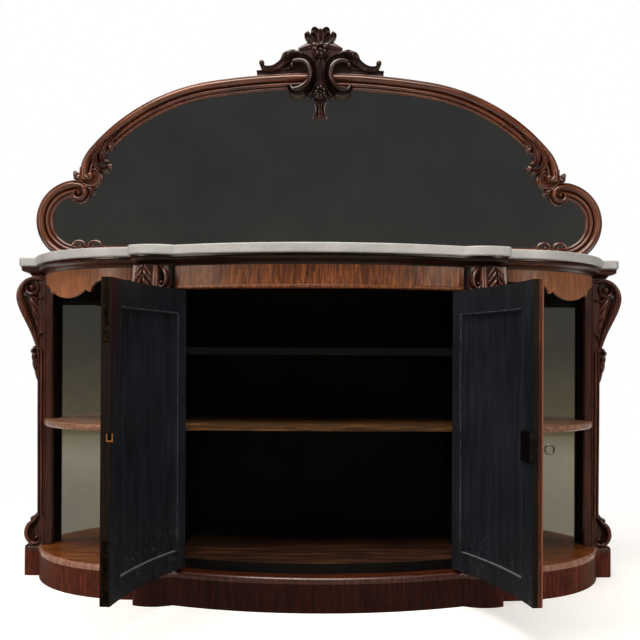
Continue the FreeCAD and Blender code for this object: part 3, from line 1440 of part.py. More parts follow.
def build_left_hardware(frame):
    """Flush bolts, their edge plates and the strike plate on the left door's meeting edge."""
    across, depth = bolt_place()
    tools, plates = [], []
    for name in ("top", "bottom"):
        top = name == "top"
        plate_base = "door_top - bolt_plate_length" if top else "door_bottom"
        slot_base = ("door_top - thumb_slot_from_end - thumb_slot_length" if top
                     else "door_bottom + thumb_slot_from_end")
        plate_blank = board(name + "_plate_blank", "-door_gap / 2 - bolt_plate_thickness",
                            "bolt_depth - bolt_plate_width / 2", plate_base,
                            "bolt_plate_thickness", "bolt_plate_width", "bolt_plate_length")
        slot = board(name + "_slot", "-door_gap / 2 - bolt_setback",
                     "bolt_depth - thumb_slot_width / 2", slot_base,
                     "bolt_setback", "thumb_slot_width", "thumb_slot_length")
        plates.append(cut(name + "_plate", plate_blank, slot))
        base = size.door_top - size.bolt_length if top else size.door_bottom
        bore_base = base - size.thumb_clearance if top else base
        bore = round_bar(name + "_bolt_bore", across, depth, bore_base, "bolt_radius + running_clearance",
                         "bolt_length + thumb_clearance", UP)
        tools += [plate_blank, slot, bore]
        rod = round_bar(name + "_rod", across, depth, base, "bolt_radius", "bolt_length", UP)
        thumb_base = slot_base + (" + thumb_clearance" if top else
                                  " + thumb_slot_length - thumb_clearance - thumb_length")
        thumb = board(name + "_thumb", "-door_gap / 2 - bolt_setback",
                      "bolt_depth - thumb_slot_width / 2 + thumb_clearance", thumb_base,
                      "bolt_setback - thumb_clearance", "thumb_slot_width - 2 * thumb_clearance",
                      "thumb_length")
        swung(name + "_bolt", joined(name + "_bolt_closed", [rod, thumb]), LEFT)
    strike_base = "lock_bolt_centre - strike_height / 2"
    strike = board("strike_blank", "-door_gap / 2 - strike_thickness",
                   "lock_back_depth + lock_case_thickness / 2 - strike_width / 2 + lock_strike_shift",
                   strike_base, "strike_thickness", "strike_width", "strike_height")
    mortise = board("strike_mortise", "-door_gap / 2 - strike_mortise",
                    "lock_back_depth + lock_case_thickness / 2 - lock_bolt_thickness / 2 - lock_wall / 2"
                    " + lock_strike_shift",
                    "lock_bolt_centre - lock_bolt_height / 2 - lock_wall / 2",
                    "strike_mortise", "lock_bolt_thickness + lock_wall", "lock_bolt_height + lock_wall")
    plates.append(cut("strike_plate", strike, mortise))
    swung("left_door_plates", group("closed_plates", plates), LEFT)
    swung("left_door_frame", cut("left_frame_cut", frame, strike, mortise, *tools), LEFT)


def build_right_hardware(frame):
    """Cut cupboard lock with its key, on the right door's meeting stile."""
    edge = "door_gap / 2"
    case = board("lock_block", edge, "lock_back_depth", "lock_bottom",
                 "lock_width", "lock_case_thickness", "lock_height")
    cavity = board("lock_cavity", "%s + lock_wall" % edge, "lock_back_depth + lock_wall",
                   "lock_bottom + lock_wall", "lock_width - 2 * lock_wall",
                   "lock_case_thickness - 2 * lock_wall", "lock_height - 2 * lock_wall")
    bolt_back = "lock_back_depth + lock_case_thickness / 2 - lock_bolt_thickness / 2 + lock_strike_shift"
    bolt_base = "lock_bolt_centre - lock_bolt_height / 2"
    gate = board("lock_gate", edge,
                 bolt_back + " - lock_bolt_clearance", bolt_base + " - lock_bolt_clearance",
                 "lock_wall", "lock_bolt_thickness + 2 * lock_bolt_clearance",
                 "lock_bolt_height + 2 * lock_bolt_clearance")
    bolt = board("lock_bolt_bar", edge, bolt_back, bolt_base,
                 "lock_bolt_length", "lock_bolt_thickness", "lock_bolt_height")
    talon = board("lock_talon", "key_x - talon_width / 2", bolt_back, "talon_bottom",
                  "talon_width", "lock_bolt_thickness", "%s - talon_bottom" % bolt_base)
    face = depth_on(0, size.bow_front - size.bow_radius, door_outer(), size.key_x)
    inside = size.lock_back_depth + 2 * size.lock_wall
    tip = face + size.key_stand_off
    keyhole = round_bar("keyhole", size.key_x, inside, size.key_height,
                        "key_shank + running_clearance", "door_thickness + key_stand_off", FORWARDS)
    slot = board("keyhole_slot", "key_x - key_bit_thickness / 2 - running_clearance",
                 "lock_back_depth + 2 * lock_wall", "key_height - key_bit - running_clearance",
                 "key_bit_thickness + 2 * running_clearance", "door_thickness + key_stand_off",
                 "key_bit + running_clearance")
    swung("lock_case", cut("lock_case_cut", case, cavity, gate, keyhole, slot), RIGHT)
    swung("lock_bolt", joined("lock_bolt_closed", [bolt, talon]), RIGHT)
    swung("right_door_frame", cut("right_frame_cut", frame, case, keyhole, slot), RIGHT)

    shank = round_bar("key_shank_bar", size.key_x, inside, size.key_height, "key_shank",
                      tip - inside, FORWARDS)
    bit = board("key_bit_plate", "key_x - key_bit_thickness / 2", "lock_back_depth + 2 * lock_wall",
                "key_height - key_bit", "key_bit_thickness", "key_bit_width", "key_bit")
    collar_back = face + size.escutcheon_thickness + size.key_collar_length
    collar = round_bar("key_collar_ring", size.key_x, collar_back,
                       size.key_height, "key_collar", "key_collar_length", FORWARDS)
    bow = doc.addObject("Part::Torus", "key_bow")
    bind(bow, "Radius1", "key_bow_radius")
    bind(bow, "Radius2", "key_bow_wire")
    bow.Placement = Placement(
        at(size.key_x, tip + size.key_bow_radius, size.key_height), Rotation(FORWARDS, QUARTER_TURN))
    swung("key", joined("key_closed", [shank, bit, collar, bow]), RIGHT)
    nearest = depth_on(0, size.bow_front - size.bow_radius, door_outer(), size.key_x - size.escutcheon_radius)
    plate = round_bar("escutcheon_blank", size.key_x, nearest, size.key_height, "escutcheon_radius",
                      "escutcheon_thickness", FORWARDS)
    swung("escutcheon", cut("escutcheon_cut", plate, keyhole, slot), RIGHT)


def build_all():
    build_plinth()
    deck = build_deck()
    across, depth = bolt_place()
    socket = round_bar("bottom_socket", across, depth, size.plinth_height + size.deck_thickness
                       - size.socket_depth, "bolt_radius + socket_clearance", "socket_depth", UP)
    node("deck", cut("deck_cut", deck, socket))
    pilaster = build_carcass()
    build_corbels(pilaster)
    build_consoles()
    build_backs_and_shelves()
    build_friezes()
    build_top()
    arch_moulding = build_mirror()
    build_carving(arch_moulding)
    blank, left_blank = build_doors()
    right_frame, left_frame = build_hinges(pilaster, blank, left_blank)
    build_left_hardware(left_frame)
    build_right_hardware(right_frame)


def check_and_write():
    """Refuses to write anything unless every object and every sub-part is sound."""
    doc.recompute()
    faults = ["%s: %s" % (obj.Name, " ".join(obj.State)) for obj in doc.Objects
              if "Invalid" in obj.State or "Error" in obj.State]
    for label, obj in NODES.items():
        if obj.Shape.isNull() or not obj.Shape.isValid():
            faults.append("%s: no sound shape" % label)
    if faults:
        raise RuntimeError("; ".join(faults))
    os.makedirs("parts", exist_ok=True)
    for label, obj in sorted(NODES.items()):
        obj.Shape.exportStep("parts/%s.step" % label)
        print("%-24s %2d solids %10.0f mm3" % (label, len(obj.Shape.Solids), obj.Shape.Volume))


build_all()
check_and_write()
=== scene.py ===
import json
import math

import bmesh
import bpy
import numpy as np
from mathutils import Matrix, Vector


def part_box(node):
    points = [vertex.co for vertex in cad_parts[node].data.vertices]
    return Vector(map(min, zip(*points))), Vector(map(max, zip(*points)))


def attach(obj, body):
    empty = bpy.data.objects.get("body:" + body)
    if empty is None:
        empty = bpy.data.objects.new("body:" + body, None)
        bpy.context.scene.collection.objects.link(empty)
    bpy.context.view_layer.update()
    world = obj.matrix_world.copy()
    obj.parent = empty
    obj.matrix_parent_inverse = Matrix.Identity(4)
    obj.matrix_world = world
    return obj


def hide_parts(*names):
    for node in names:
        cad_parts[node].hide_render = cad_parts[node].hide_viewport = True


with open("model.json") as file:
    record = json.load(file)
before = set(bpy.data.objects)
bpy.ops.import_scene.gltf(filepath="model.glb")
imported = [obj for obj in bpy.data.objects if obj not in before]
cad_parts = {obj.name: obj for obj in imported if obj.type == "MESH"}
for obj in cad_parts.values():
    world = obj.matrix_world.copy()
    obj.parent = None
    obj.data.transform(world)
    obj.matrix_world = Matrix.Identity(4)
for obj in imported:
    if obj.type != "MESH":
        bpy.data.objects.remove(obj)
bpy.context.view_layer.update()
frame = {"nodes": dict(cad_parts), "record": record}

MM = 0.001
scene = bpy.context.scene
nodes = frame["nodes"]

# The mirror's lines on the left side, in millimetres: the eyes of the two volutes, and the lobe's middle line
ARCH_EYE = (-720.0, 1236.0)
LOBE_EYE = (-759.0, 1183.0)
LOBE_CENTRE = (-764.0, 1096.0)
LOBE_RADIUS = 103.0
MOULDING_WIDTH = 50.0
MOULDING_HEIGHT = 26.0

# The doors as they stand open, in metres: the panel's middle and half sizes, free edge, top, foot and lock
PANEL_Y, PANEL_Z = -0.3438, 0.46875
PANEL_HALF_WIDTH, PANEL_HALF_HEIGHT = 0.138, 0.31575
FREE_EDGE_Y = -0.538
DOOR_TOP, DOOR_FOOT = 0.848, 0.102
LOCK_HEIGHT = 0.457

WHITE = (1.0, 1.0, 1.0, 1.0)


# Finishes

def linear(hex_colour):
    """An sRGB hex colour as linear red, green, blue and alpha."""
    parts = [int(hex_colour[i:i + 2], 16) / 255 for i in (1, 3, 5)]
    return tuple(p / 12.92 if p <= 0.04045 else ((p + 0.055) / 1.055) ** 2.4 for p in parts) + (1.0,)


def per(size_mm):
    """The scale of a pattern whose spots are this big."""
    return 1 / (size_mm * MM)


# What a node is set to unless it is told otherwise
USUAL = {"Mix": {"data_type": "RGBA"}, "Math": {"operation": "MULTIPLY"}}


def add(tree, kind, inputs=(), **settings):
    """Adds a node. inputs fill its sockets in order, or by name from a dict; each is a value, a hex colour, a
    socket, or a node, which stands for its first output. settings are the node's attributes."""
    new = tree.nodes.new("ShaderNode" + kind)
    for name, value in {**USUAL.get(kind, {}), **settings}.items():
        if name == "stops":
            band = new.color_ramp.elements
            while len(band) < len(value):
                band.new(0.5)
            for element, (place, colour) in zip(band, value):
                element.position = place
                element.color = linear(colour) if isinstance(colour, str) else (colour, colour, colour, 1)
        else:
            setattr(new, name, value)
    sockets = [socket for socket in new.inputs if socket.enabled]
    for key, value in inputs.items() if isinstance(inputs, dict) else enumerate(inputs):
        socket = new.inputs[key] if isinstance(key, str) else sockets[key]
        if isinstance(value, bpy.types.Node):
            value = next(output for output in value.outputs if output.enabled)
        if isinstance(value, bpy.types.NodeSocket):
            tree.links.new(value, socket)
        else:
            socket.default_value = linear(value) if isinstance(value, str) else value
    return new


def blank(name):
    """A material with an empty node tree, and the place of its surface on the object, in metres."""
    made = bpy.data.materials.new(name)
    made.use_nodes = True
    made.node_tree.nodes.clear()
    return made, made.node_tree, add(made.node_tree, "TexCoord").outputs["Object"]


def off_centre(tree, place):
    """How far a point lies from the middle of the piece, to either side."""
    return add(tree, "Math", (add(tree, "SeparateXYZ", (place,)).outputs["X"],), operation="ABSOLUTE")


def both(tree, *ramps):
    """1 where two ramps are full: each is a value, where the ramp starts and where it is full."""
    first, second = (add(tree, "MapRange", ramp) for ramp in ramps)
    return add(tree, "Math", (first, second))


def streaks(tree, place, across_mm, along_mm, grain, **character):
    """Noise drawn out along the grain: across_mm wide and along_mm long."""
    scale = [per(across_mm)] * 3
    scale["XYZ".index(grain)] = per(along_mm)
    stretched = add(tree, "Mapping", {"Vector": place, "Scale": scale})
    return add(tree, "TexNoise", {"Vector": stretched, "Scale": 1.0, **character})


def wood_figure(tree, place, dark, middle, light, grain, figure_mm, pores=0.45, wander_mm=20):
    """Colour, pores and mottle of a piece of wood. grain is the axis it runs along; figure_mm is one streak
    of its figure across and along; wander_mm is how far the streaks stray. Real pores are a few tenths of a
    millimetre wide; they are drawn 0.9 mm wide, coarse enough to show."""
    drift = add(tree, "TexNoise", {"Vector": place, "Scale": per(200), "Detail": 2.0})
    strayed = add(tree, "VectorMath", (drift.outputs["Color"], (wander_mm * MM,) * 3, place),
                  operation="MULTIPLY_ADD")
    figure = streaks(tree, strayed, *figure_mm, grain, Detail=5.0, Roughness=0.62, Distortion=0.7)
    colour = add(tree, "ValToRGB", (figure,), stops=[(0.28, dark), (0.5, middle), (0.72, light)])
    pore = streaks(tree, strayed, 0.9, 16, grain, Detail=2.0, Roughness=0.5)
    pore_share = add(tree, "Math", (add(tree, "ValToRGB", (pore,), stops=[(0.36, 1.0), (0.47, 0.0)]), pores))
    colour = add(tree, "Mix", (pore_share, colour, "#6b4a3c"), blend_type="MULTIPLY")
    mottle = add(tree, "TexNoise", {"Vector": place, "Scale": per(180), "Detail": 3.0})
    shade = add(tree, "MapRange", (mottle, 0.3, 0.7, 0.78, 1.18))
    return add(tree, "Mix", (1.0, colour, shade), blend_type="MULTIPLY"), pore, mottle


def varnish(tree, colour, pore, mottle, gloss, polish):
    """The skin over the wood: gloss is its roughness and polish the coat of shellac; without one the wood has
    little sheen. Its relief is 0.05 mm deep."""
    rough = add(tree, "MapRange", (mottle, 0.3, 0.7, gloss - 0.05, gloss + 0.08))
    relief = add(tree, "Bump", {"Strength": 0.5, "Distance": 0.05 * MM, "Height": pore})
    add(tree, "OutputMaterial", (add(tree, "BsdfPrincipled", {
        "Base Color": colour, "Roughness": rough, "Normal": relief, "Coat Weight": polish,
        "Coat Roughness": 0.16, "IOR": 1.5, "Specular IOR Level": 0.5 if polish else 0.22}),))


def wood(name, dark, middle, light, grain, figure_mm, gloss, polish, pores=0.45, hollow_shade=None, tint=None,
         lay=None):
    """Polished or bare wood. hollows is how dark the carved recesses are made: painted shade, with old polish
    gone black there; tint is a function that shades the colour from place to place; lay is one that bends the
    grain."""
    made, tree, place = blank(name)
    if lay is not None:
        place = lay(tree, place)
    colour, pore, mottle = wood_figure(tree, place, dark, middle, light, grain, figure_mm, pores)
    if hollow_shade is not None:
        # painted shade: the surface darkens where it is enclosed within 7 mm, standing also for old polish
        # gone black there
        depth = add(tree, "AmbientOcclusion", {"Distance": 7 * MM}, samples=6, only_local=True)
        deep = add(tree, "MapRange", (depth.outputs["AO"], 0.3, 0.85, hollow_shade, 0.0))
        colour = add(tree, "Mix", (deep, colour, "#0c0605"))
    if tint is not None:
        colour = tint(tree, place, colour)
    varnish(tree, colour, pore, mottle, gloss, polish)
    return made


def round_the_frame(tree, place):
    """Grain that follows the frame: over the arch, round each lobe, and straight along the foot."""
    spot = add(tree, "SeparateXYZ", (place,))
    height = spot.outputs["Z"]
    across = off_centre(tree, place)

    def unrolled(x, z, centre_z, reach, rise):
        """The way round an oval with these half axes becomes x, and the way out from it z."""
        z = add(tree, "Math", (z, centre_z), operation="SUBTRACT")
        x = add(tree, "Math", (x, reach), operation="DIVIDE")
        z = add(tree, "Math", (z, rise), operation="DIVIDE")
        angle = add(tree, "Math", (z, x), operation="ARCTAN2")
        radius = add(tree, "VectorMath", (add(tree, "CombineXYZ", {"X": x, "Z": z}),), operation="LENGTH")
        return add(tree, "CombineXYZ", (add(tree, "Math", (angle, reach)), spot.outputs["Y"],
                                        add(tree, "Math", (radius, rise))))

    arch_reach, arch_rise = 0.755, 0.33
    arch = unrolled(spot.outputs["X"], height, ARCH_EYE[1] * MM, arch_reach, arch_rise)
    from_lobe = add(tree, "Math", (across, -LOBE_CENTRE[0] * MM), operation="SUBTRACT")
    lobe_reach = (LOBE_RADIUS + MOULDING_WIDTH / 2) * MM
    lobe = unrolled(from_lobe, height, LOBE_CENTRE[1] * MM, lobe_reach, lobe_reach)
    # the lobes end and the arch begins at 1.223 m; the foot lies between the lobes, under 1.03 m
    curved = add(tree, "Mix", (add(tree, "MapRange", (height, 1.222, 1.224)), lobe, arch))
    foot = both(tree, (across, 0.77, 0.75), (height, 1.03, 1.02))
    return add(tree, "Mix", (foot, curved, place))


def paler_ends(tree, place, colour):
    """Painted light: the ends of the veneer are made paler than the middle, where they catch the light."""
    lightened = add(tree, "Mix", (1.0, colour, "#6b4d3a"), blend_type="ADD")
    return add(tree, "Mix", (add(tree, "MapRange", (off_centre(tree, place), 0.46, 0.75)), colour, lightened))


def darker_middle(tree, place, colour):
    """Painted shade: the middle, as far as the pilasters, is made darker than the ends."""
    middle = add(tree, "MapRange", (off_centre(tree, place), 0.56, 0.46))
    return add(tree, "Mix", (middle, colour, "#86685f"), blend_type="MULTIPLY")


def blacker_crest(tree, place, colour):
    """The crest, above about 1.4 m, is made nearly black; the corbels and consoles stay brown."""
    top = add(tree, "MapRange", (add(tree, "SeparateXYZ", (place,)).outputs["Z"], 1.38, 1.5))
    return add(tree, "Mix", (top, colour, "#a08c90"), blend_type="MULTIPLY")


def dark_upper_shelf(tree, place, colour):
    """The upper shelf is stained like the back; the lower one is worn to the wood."""
    upper = add(tree, "MapRange", (add(tree, "SeparateXYZ", (place,)).outputs["Z"], 0.55, 0.6))
    return add(tree, "Mix", (upper, colour, "#070708"))


def black_front(tree, place, colour):
    """Worn boards with a black-stained front edge."""
    way = add(tree, "SeparateXYZ", (add(tree, "TexCoord").outputs["Normal"],)).outputs["Y"]
    return add(tree, "Mix", (add(tree, "MapRange", (way, -0.5, -0.7)), colour, "#060505"))


def banded_deck():
    """Deck of polished boards whose rounded edge is crossbanded: pale pinkish rosewood sawn across the grain
    on the two ends, dark upright veneer in the middle."""
    made, tree, place = blank("deck boards with a crossbanded edge")
    boards, pore, mottle = wood_figure(tree, place, "#34170a", "#7c431b", "#ab6c2f", "X", (9, 190), 0.5, 34)
    across = off_centre(tree, place)
    boards = add(tree, "Mix", (add(tree, "MapRange", (across, 0.5, 0.47)), boards, "#8c6f66"),
                 blend_type="MULTIPLY")
    # the slips of the band, 14 mm wide, lie side by side round the end's arc
    arc_x, arc_y, arc_radius = 0.5, 0.235, 0.37
    out = add(tree, "Math", (across, arc_x), operation="SUBTRACT")
    back = add(tree, "Math", (add(tree, "SeparateXYZ", (place,)).outputs["Y"], arc_y), operation="SUBTRACT")
    turn = add(tree, "Math", (back, out), operation="ARCTAN2")
    along = add(tree, "CombineXYZ", (add(tree, "Math", (turn, arc_radius)),))
    slips = add(tree, "TexNoise", {"Vector": along, "Scale": per(14.29), "Detail": 4.0, "Roughness": 0.7})
    pale = add(tree, "ValToRGB", (slips,), stops=[(0.3, "#5c3328"), (0.5, "#94695a"), (0.7, "#b58f80")])
    upright, _, _ = wood_figure(tree, place, "#1d0c08", "#40201a", "#5e3427", "Z", (5, 90))
    # the pale band runs from the pilaster to the block under the console
    banded = both(tree, (across, 0.49, 0.5), (across, 0.855, 0.845))
    edge = add(tree, "Mix", (banded, upright, pale))
    # the rounded edge begins where the surface has turned well away from level
    upward = add(tree, "SeparateXYZ", (add(tree, "TexCoord").outputs["Normal"],)).outputs["Z"]
    colour = add(tree, "Mix", (add(tree, "MapRange", (upward, 0.93, 0.84)), boards, edge))
    varnish(tree, colour, pore, mottle, 0.3, 0.4)
    return made


def door_finish():
    """Doors stained black inside, veneered outside and on their edges; scuffed low down, and dust lies along
    the lower rail."""
    made, tree, place = blank("door, stained inside and veneered outside")
    stain, pore, mottle = wood_figure(tree, place, "#13161b", "#1c2027", "#262a32", "Z", (10, 200), 0.3)
    veneer, _, _ = wood_figure(tree, place, "#1d0c08", "#45200f", "#6b3620", "Z", (5, 130))
    x, y, z = add(tree, "SeparateXYZ", (place,)).outputs
    way = add(tree, "SeparateXYZ", (add(tree, "TexCoord").outputs["Normal"],))
    outward = add(tree, "Math", (add(tree, "Math", (x,), operation="SIGN"), way.outputs["X"]))
    # the free edge, top and foot, and with them the outer face, are veneered
    edges = both(tree, (y, FREE_EDGE_Y, FREE_EDGE_Y - 3 * MM), (outward, -0.6, -0.4))
    hair = 0.2 * MM
    for inside, outside in ((DOOR_TOP - hair, DOOR_TOP + hair), (DOOR_FOOT + hair, DOOR_FOOT - hair)):
        edges = add(tree, "Math", (edges, add(tree, "MapRange", (z, inside, outside))), operation="MAXIMUM")
    shown = add(tree, "Math", (edges, add(tree, "MapRange", (outward, 0.4, 0.6))), operation="MAXIMUM")
    # the left door's edges are dark; the right one's are dark inside, brown outside, and end in a light bead
    left = add(tree, "Math", (add(tree, "MapRange", (x, 0.01, -0.01)), 0.85))
    inner = add(tree, "Math", (add(tree, "MapRange", (off_centre(tree, place), 0.4985, 0.497)), 0.92))
    dark = add(tree, "Math", (edges, add(tree, "Math", (left, inner), operation="MAXIMUM")))
    veneer = add(tree, "Mix", (dark, veneer, "#070404"))
    bead = add(tree, "Math", (edges, add(tree, "MapRange", (x, 0.5055, 0.5062))))
    veneer = add(tree, "Mix", (add(tree, "Math", (bead, 0.6)), veneer, "#9c604a"))
    # scuffs of about 24 mm low down, and dust on the ledge of the lower rail
    rubs = add(tree, "TexNoise", {"Vector": place, "Scale": per(23.81), "Detail": 5.0, "Roughness": 0.7})
    low_down = both(tree, (rubs, 0.59, 0.66), (z, 0.26, 0.19))
    stain = add(tree, "Mix", (add(tree, "Math", (low_down, 0.5)), stain, "#4c4d53"))
    ledge = both(tree, (way.outputs["Z"], 0.6, 0.8), (z, 0.2, 0.17))
    stain = add(tree, "Mix", (add(tree, "Math", (ledge, 0.85)), stain, "#6e6e74"))
    # the arris round the panel is rubbed to the bare grey wood
    outs = []
    for value, middle, half in ((y, PANEL_Y, PANEL_HALF_WIDTH), (z, PANEL_Z, PANEL_HALF_HEIGHT)):
        off = add(tree, "Math", (value, middle), operation="SUBTRACT")
        off = add(tree, "Math", (off,), operation="ABSOLUTE")
        outs.append(add(tree, "Math", (off, half), operation="SUBTRACT"))
    border = add(tree, "Math", (add(tree, "Math", outs, operation="MAXIMUM"),), operation="ABSOLUTE")
    rubbed = both(tree, (border, 2.6 * MM, 0.8 * MM), (rubs, 0.35, 0.6))
    stain = add(tree, "Mix", (add(tree, "Math", (rubbed, 0.6)), stain, "#5f636c"))
    # the upper part of the left door's free stile is a warmer brown
    warm = both(tree, (y, -0.485, -0.53), (z, 0.5, 0.8))
    stain = add(tree, "Mix", (add(tree, "Math", (warm, left)), stain, "#2e1413"))
    varnish(tree, add(tree, "Mix", (shown, stain, veneer)), pore, mottle, 0.44, 0.0)
    return made


def honed_marble():
    """Honed white marble: a soft sheen over a cloudy grey ground with thin faint veins."""
    made, tree, place = blank("honed white marble")
    warp = add(tree, "TexNoise", {"Vector": place, "Scale": per(285.7), "Detail": 5.0, "Roughness": 0.6})
    # the veins stray by up to 350 mm
    bent = add(tree, "VectorMath", (warp.outputs["Color"], (350 * MM,) * 3, place), operation="MULTIPLY_ADD")
    vein = add(tree, "TexNoise", {"Vector": bent, "Scale": per(384.6), "Detail": 6.0, "Roughness": 0.55},
               noise_type="RIDGED_MULTIFRACTAL")
    veins = add(tree, "ValToRGB", (vein,), stops=[(0.62, 0.0), (0.95, 0.55)])
    cloud = add(tree, "TexNoise", {"Vector": place, "Scale": per(111.1), "Detail": 6.0, "Roughness": 0.65})
    ground = add(tree, "ValToRGB", (cloud,), stops=[(0.3, "#9b9d9e"), (0.55, "#adafb0"), (0.8, "#bec0c1")])
    relief = add(tree, "Bump", {"Strength": 0.3, "Distance": 0.2 * MM, "Height": cloud})
    add(tree, "OutputMaterial", (add(tree, "BsdfPrincipled", {
        "Base Color": add(tree, "Mix", (veins, ground, "#8b8a88")), "Roughness": 0.32, "IOR": 1.49,
        "Normal": relief, "Subsurface Weight": 0.08, "Subsurface Scale": 4 * MM}),))
    return made


def silvered_plate():
    """Old silvered plate glass: a grey-blue cast, faint haze, and small dark spots where silver is lost."""
    made, tree, place = blank("silvered mirror plate")
    haze = add(tree, "TexNoise", {"Vector": place, "Scale": per(250), "Detail": 6.0, "Roughness": 0.7})
    cast = add(tree, "ValToRGB", (haze,), stops=[(0.35, "#b9bfc4"), (0.7, "#cdd2d4")])
    # spots about 11 mm apart, in patches of about 90 mm
    speck = add(tree, "TexVoronoi", {"Vector": place, "Scale": per(11.11)})
    spot = add(tree, "ValToRGB", (speck,), stops=[(0.05, 1.0), (0.1, 0.0)])
    sparse = add(tree, "TexNoise", {"Vector": place, "Scale": per(90.91), "Detail": 2.0})
    where = add(tree, "ValToRGB", (sparse,), stops=[(0.6, 0.0), (0.68, 0.8)])
    add(tree, "OutputMaterial", (add(tree, "BsdfPrincipled", {
        "Base Color": add(tree, "Mix", (add(tree, "Math", (spot, where)), cast, "#2b2724")),
        "Metallic": 1.0, "Roughness": add(tree, "MapRange", (haze, 0.3, 0.8, 0.02, 0.07))}),))
    return made


def worn_metal(name, bright, dull, roughness, spot_mm, rubbed_from=None, rubbed_to=None):
    """Old handled metal: bright where it rubs, dull or browned elsewhere, and rubbed bright between two
    heights where a moving piece slides on it."""
    made, tree, place = blank(name)
    tarnish = add(tree, "TexNoise", {"Vector": place, "Scale": per(spot_mm), "Detail": 5.0,
                                     "Roughness": 0.65})
    colour = add(tree, "ValToRGB", (tarnish,), stops=[(0.48, dull), (0.7, bright)])
    if rubbed_from is not None:
        height = add(tree, "SeparateXYZ", (place,)).outputs["Z"]
        fade = 2 * MM
        rubbed = both(tree, (height, rubbed_from - fade, rubbed_from), (height, rubbed_to + fade, rubbed_to))
        colour = add(tree, "Mix", (rubbed, colour, "#c08552"))
    relief = add(tree, "Bump", {"Strength": 0.4, "Distance": 0.08 * MM, "Height": tarnish})
    rough = add(tree, "MapRange", (tarnish, 0.3, 0.7, roughness + 0.14, roughness))
    add(tree, "OutputMaterial", (add(tree, "BsdfPrincipled", {
        "Base Color": colour, "Metallic": 1.0, "Roughness": rough, "Normal": relief}),))
    return made


OLD_BRASS = ("#3f3322", "#1d1813", 0.42, 14)
FINISHES = {
    # french-polished rosewood mouldings: a warm brown with soft dark streaks, bright on the crowns; painted
    # shade darkens the quirks
    "frame_walnut": wood("polished rosewood moulding", "#2c1209", "#542712", "#7c4121", "X", (12, 260),
                         0.28, 0.6, pores=0.0, hollow_shade=0.9, lay=round_the_frame),
    # the same wood carved: painted shade and polish gone black in the recesses, brown on the crowns of the
    # leaves
    "dark_carving": wood("carved rosewood", "#2a120c", "#492318", "#6b3a28", "Z", (14, 90),
                         0.3, 0.6, pores=0.15, hollow_shade=0.95, tint=blacker_crest),
    # sliced rosewood veneer laid upright: orange-brown with dark wandering lines, its ends paled with painted
    # light
    "frieze_veneer": wood("upright rosewood veneer", "#240d05", "#6e3817", "#a8672d", "Z", (6, 70),
                          0.4, 0.18, tint=paler_ends),
    # run rosewood moulding, darkened with painted shade in the middle under the marble
    "cornice_wood": wood("polished rosewood cornice", "#1d0904", "#3c170b", "#612d17", "X", (8, 160),
                         0.32, 0.3, pores=0.25, tint=darker_middle),
    # upright veneer on the plinth, duller and redder than the frieze from years at floor level
    # its middle is darkened with painted shade
    "plinth_veneer": wood("upright plinth veneer", "#260b06", "#542013", "#7e3825", "Z", (5, 90),
                          0.42, 0.0, tint=darker_middle),
    "deck_wood": banded_deck(),
    # polished mahogany-red posts and pilasters with a long straight grain, the middle ones darkened with
    # painted shade
    "post_wood": wood("red-brown polished upright", "#180704", "#3e160b", "#632a17", "Z", (6, 150),
                      0.3, 0.25, tint=darker_middle),
    # sun-faded rosewood: pinkish brown with a worn sheen
    "end_shelf_wood": wood("polished end shelf", "#4a2a1e", "#86604b", "#a98268", "X", (8, 150), 0.36, 0.35),
    # planed boards that were never polished: dry, dull and dirty
    "shelf_wood": wood("bare worn shelf", "#231409", "#4c3218", "#7a552c", "X", (8, 200),
                       0.62, 0.0, pores=0.6, tint=dark_upper_shelf),
    # the cupboard's floor, browner and rougher, stained along its front edge
    "bottom_wood": wood("bare worn cupboard bottom", "#0f0704", "#301a0d", "#5c3c20", "X", (14, 220),
                        0.6, 0.0, pores=0.6, tint=black_front),
    # black water stain brushed on softwood: flat and nearly without grain
    "dark_carcass": wood("black-stained softwood", "#020203", "#040507", "#08090b", "Z", (9, 200), 0.6, 0.0),
    "door_wood": door_finish(),
    # planed pine, yellowed, on the back and under the marble
    "softwood": wood("unfinished softwood", "#7d5c38", "#a8814f", "#c4a06c", "X", (9, 300), 0.65, 0.0),
    "marble": honed_marble(),
    "mirror_plate": silvered_plate(),
    # lacquered brass gone nearly black, rubbed on its high spots
    "aged_brass": worn_metal("aged brass", *OLD_BRASS),
    # steel of the lock, oiled and dull
    "dark_steel": worn_metal("dull dark steel", "#3f3b38", "#262322", 0.42, 30),
}


def dress(piece, material):
    """Gives a piece this one material on every face."""
    if not piece.data.materials:
        piece.data.materials.append(material)
    for index in range(len(piece.data.materials)):
        piece.data.materials[index] = material


for part in frame["record"]["subparts"]:
    dress(nodes[part["node"]], FINISHES[part["material_slot"]])
# the bearers are stained with the inside, the key is bright from handling, and the lock bolt rubs its strike
dress(nodes["shelf_bearers"], FINISHES["dark_carcass"])
dress(nodes["key"], worn_metal("handled key steel", "#cfcac0", "#8a857c", 0.3, 6))
dress(nodes["left_door_plates"], worn_metal("door plates, the strike rubbed bright", *OLD_BRASS,
                                            LOCK_HEIGHT - 35 * MM, LOCK_HEIGHT + 35 * MM))


# Carving

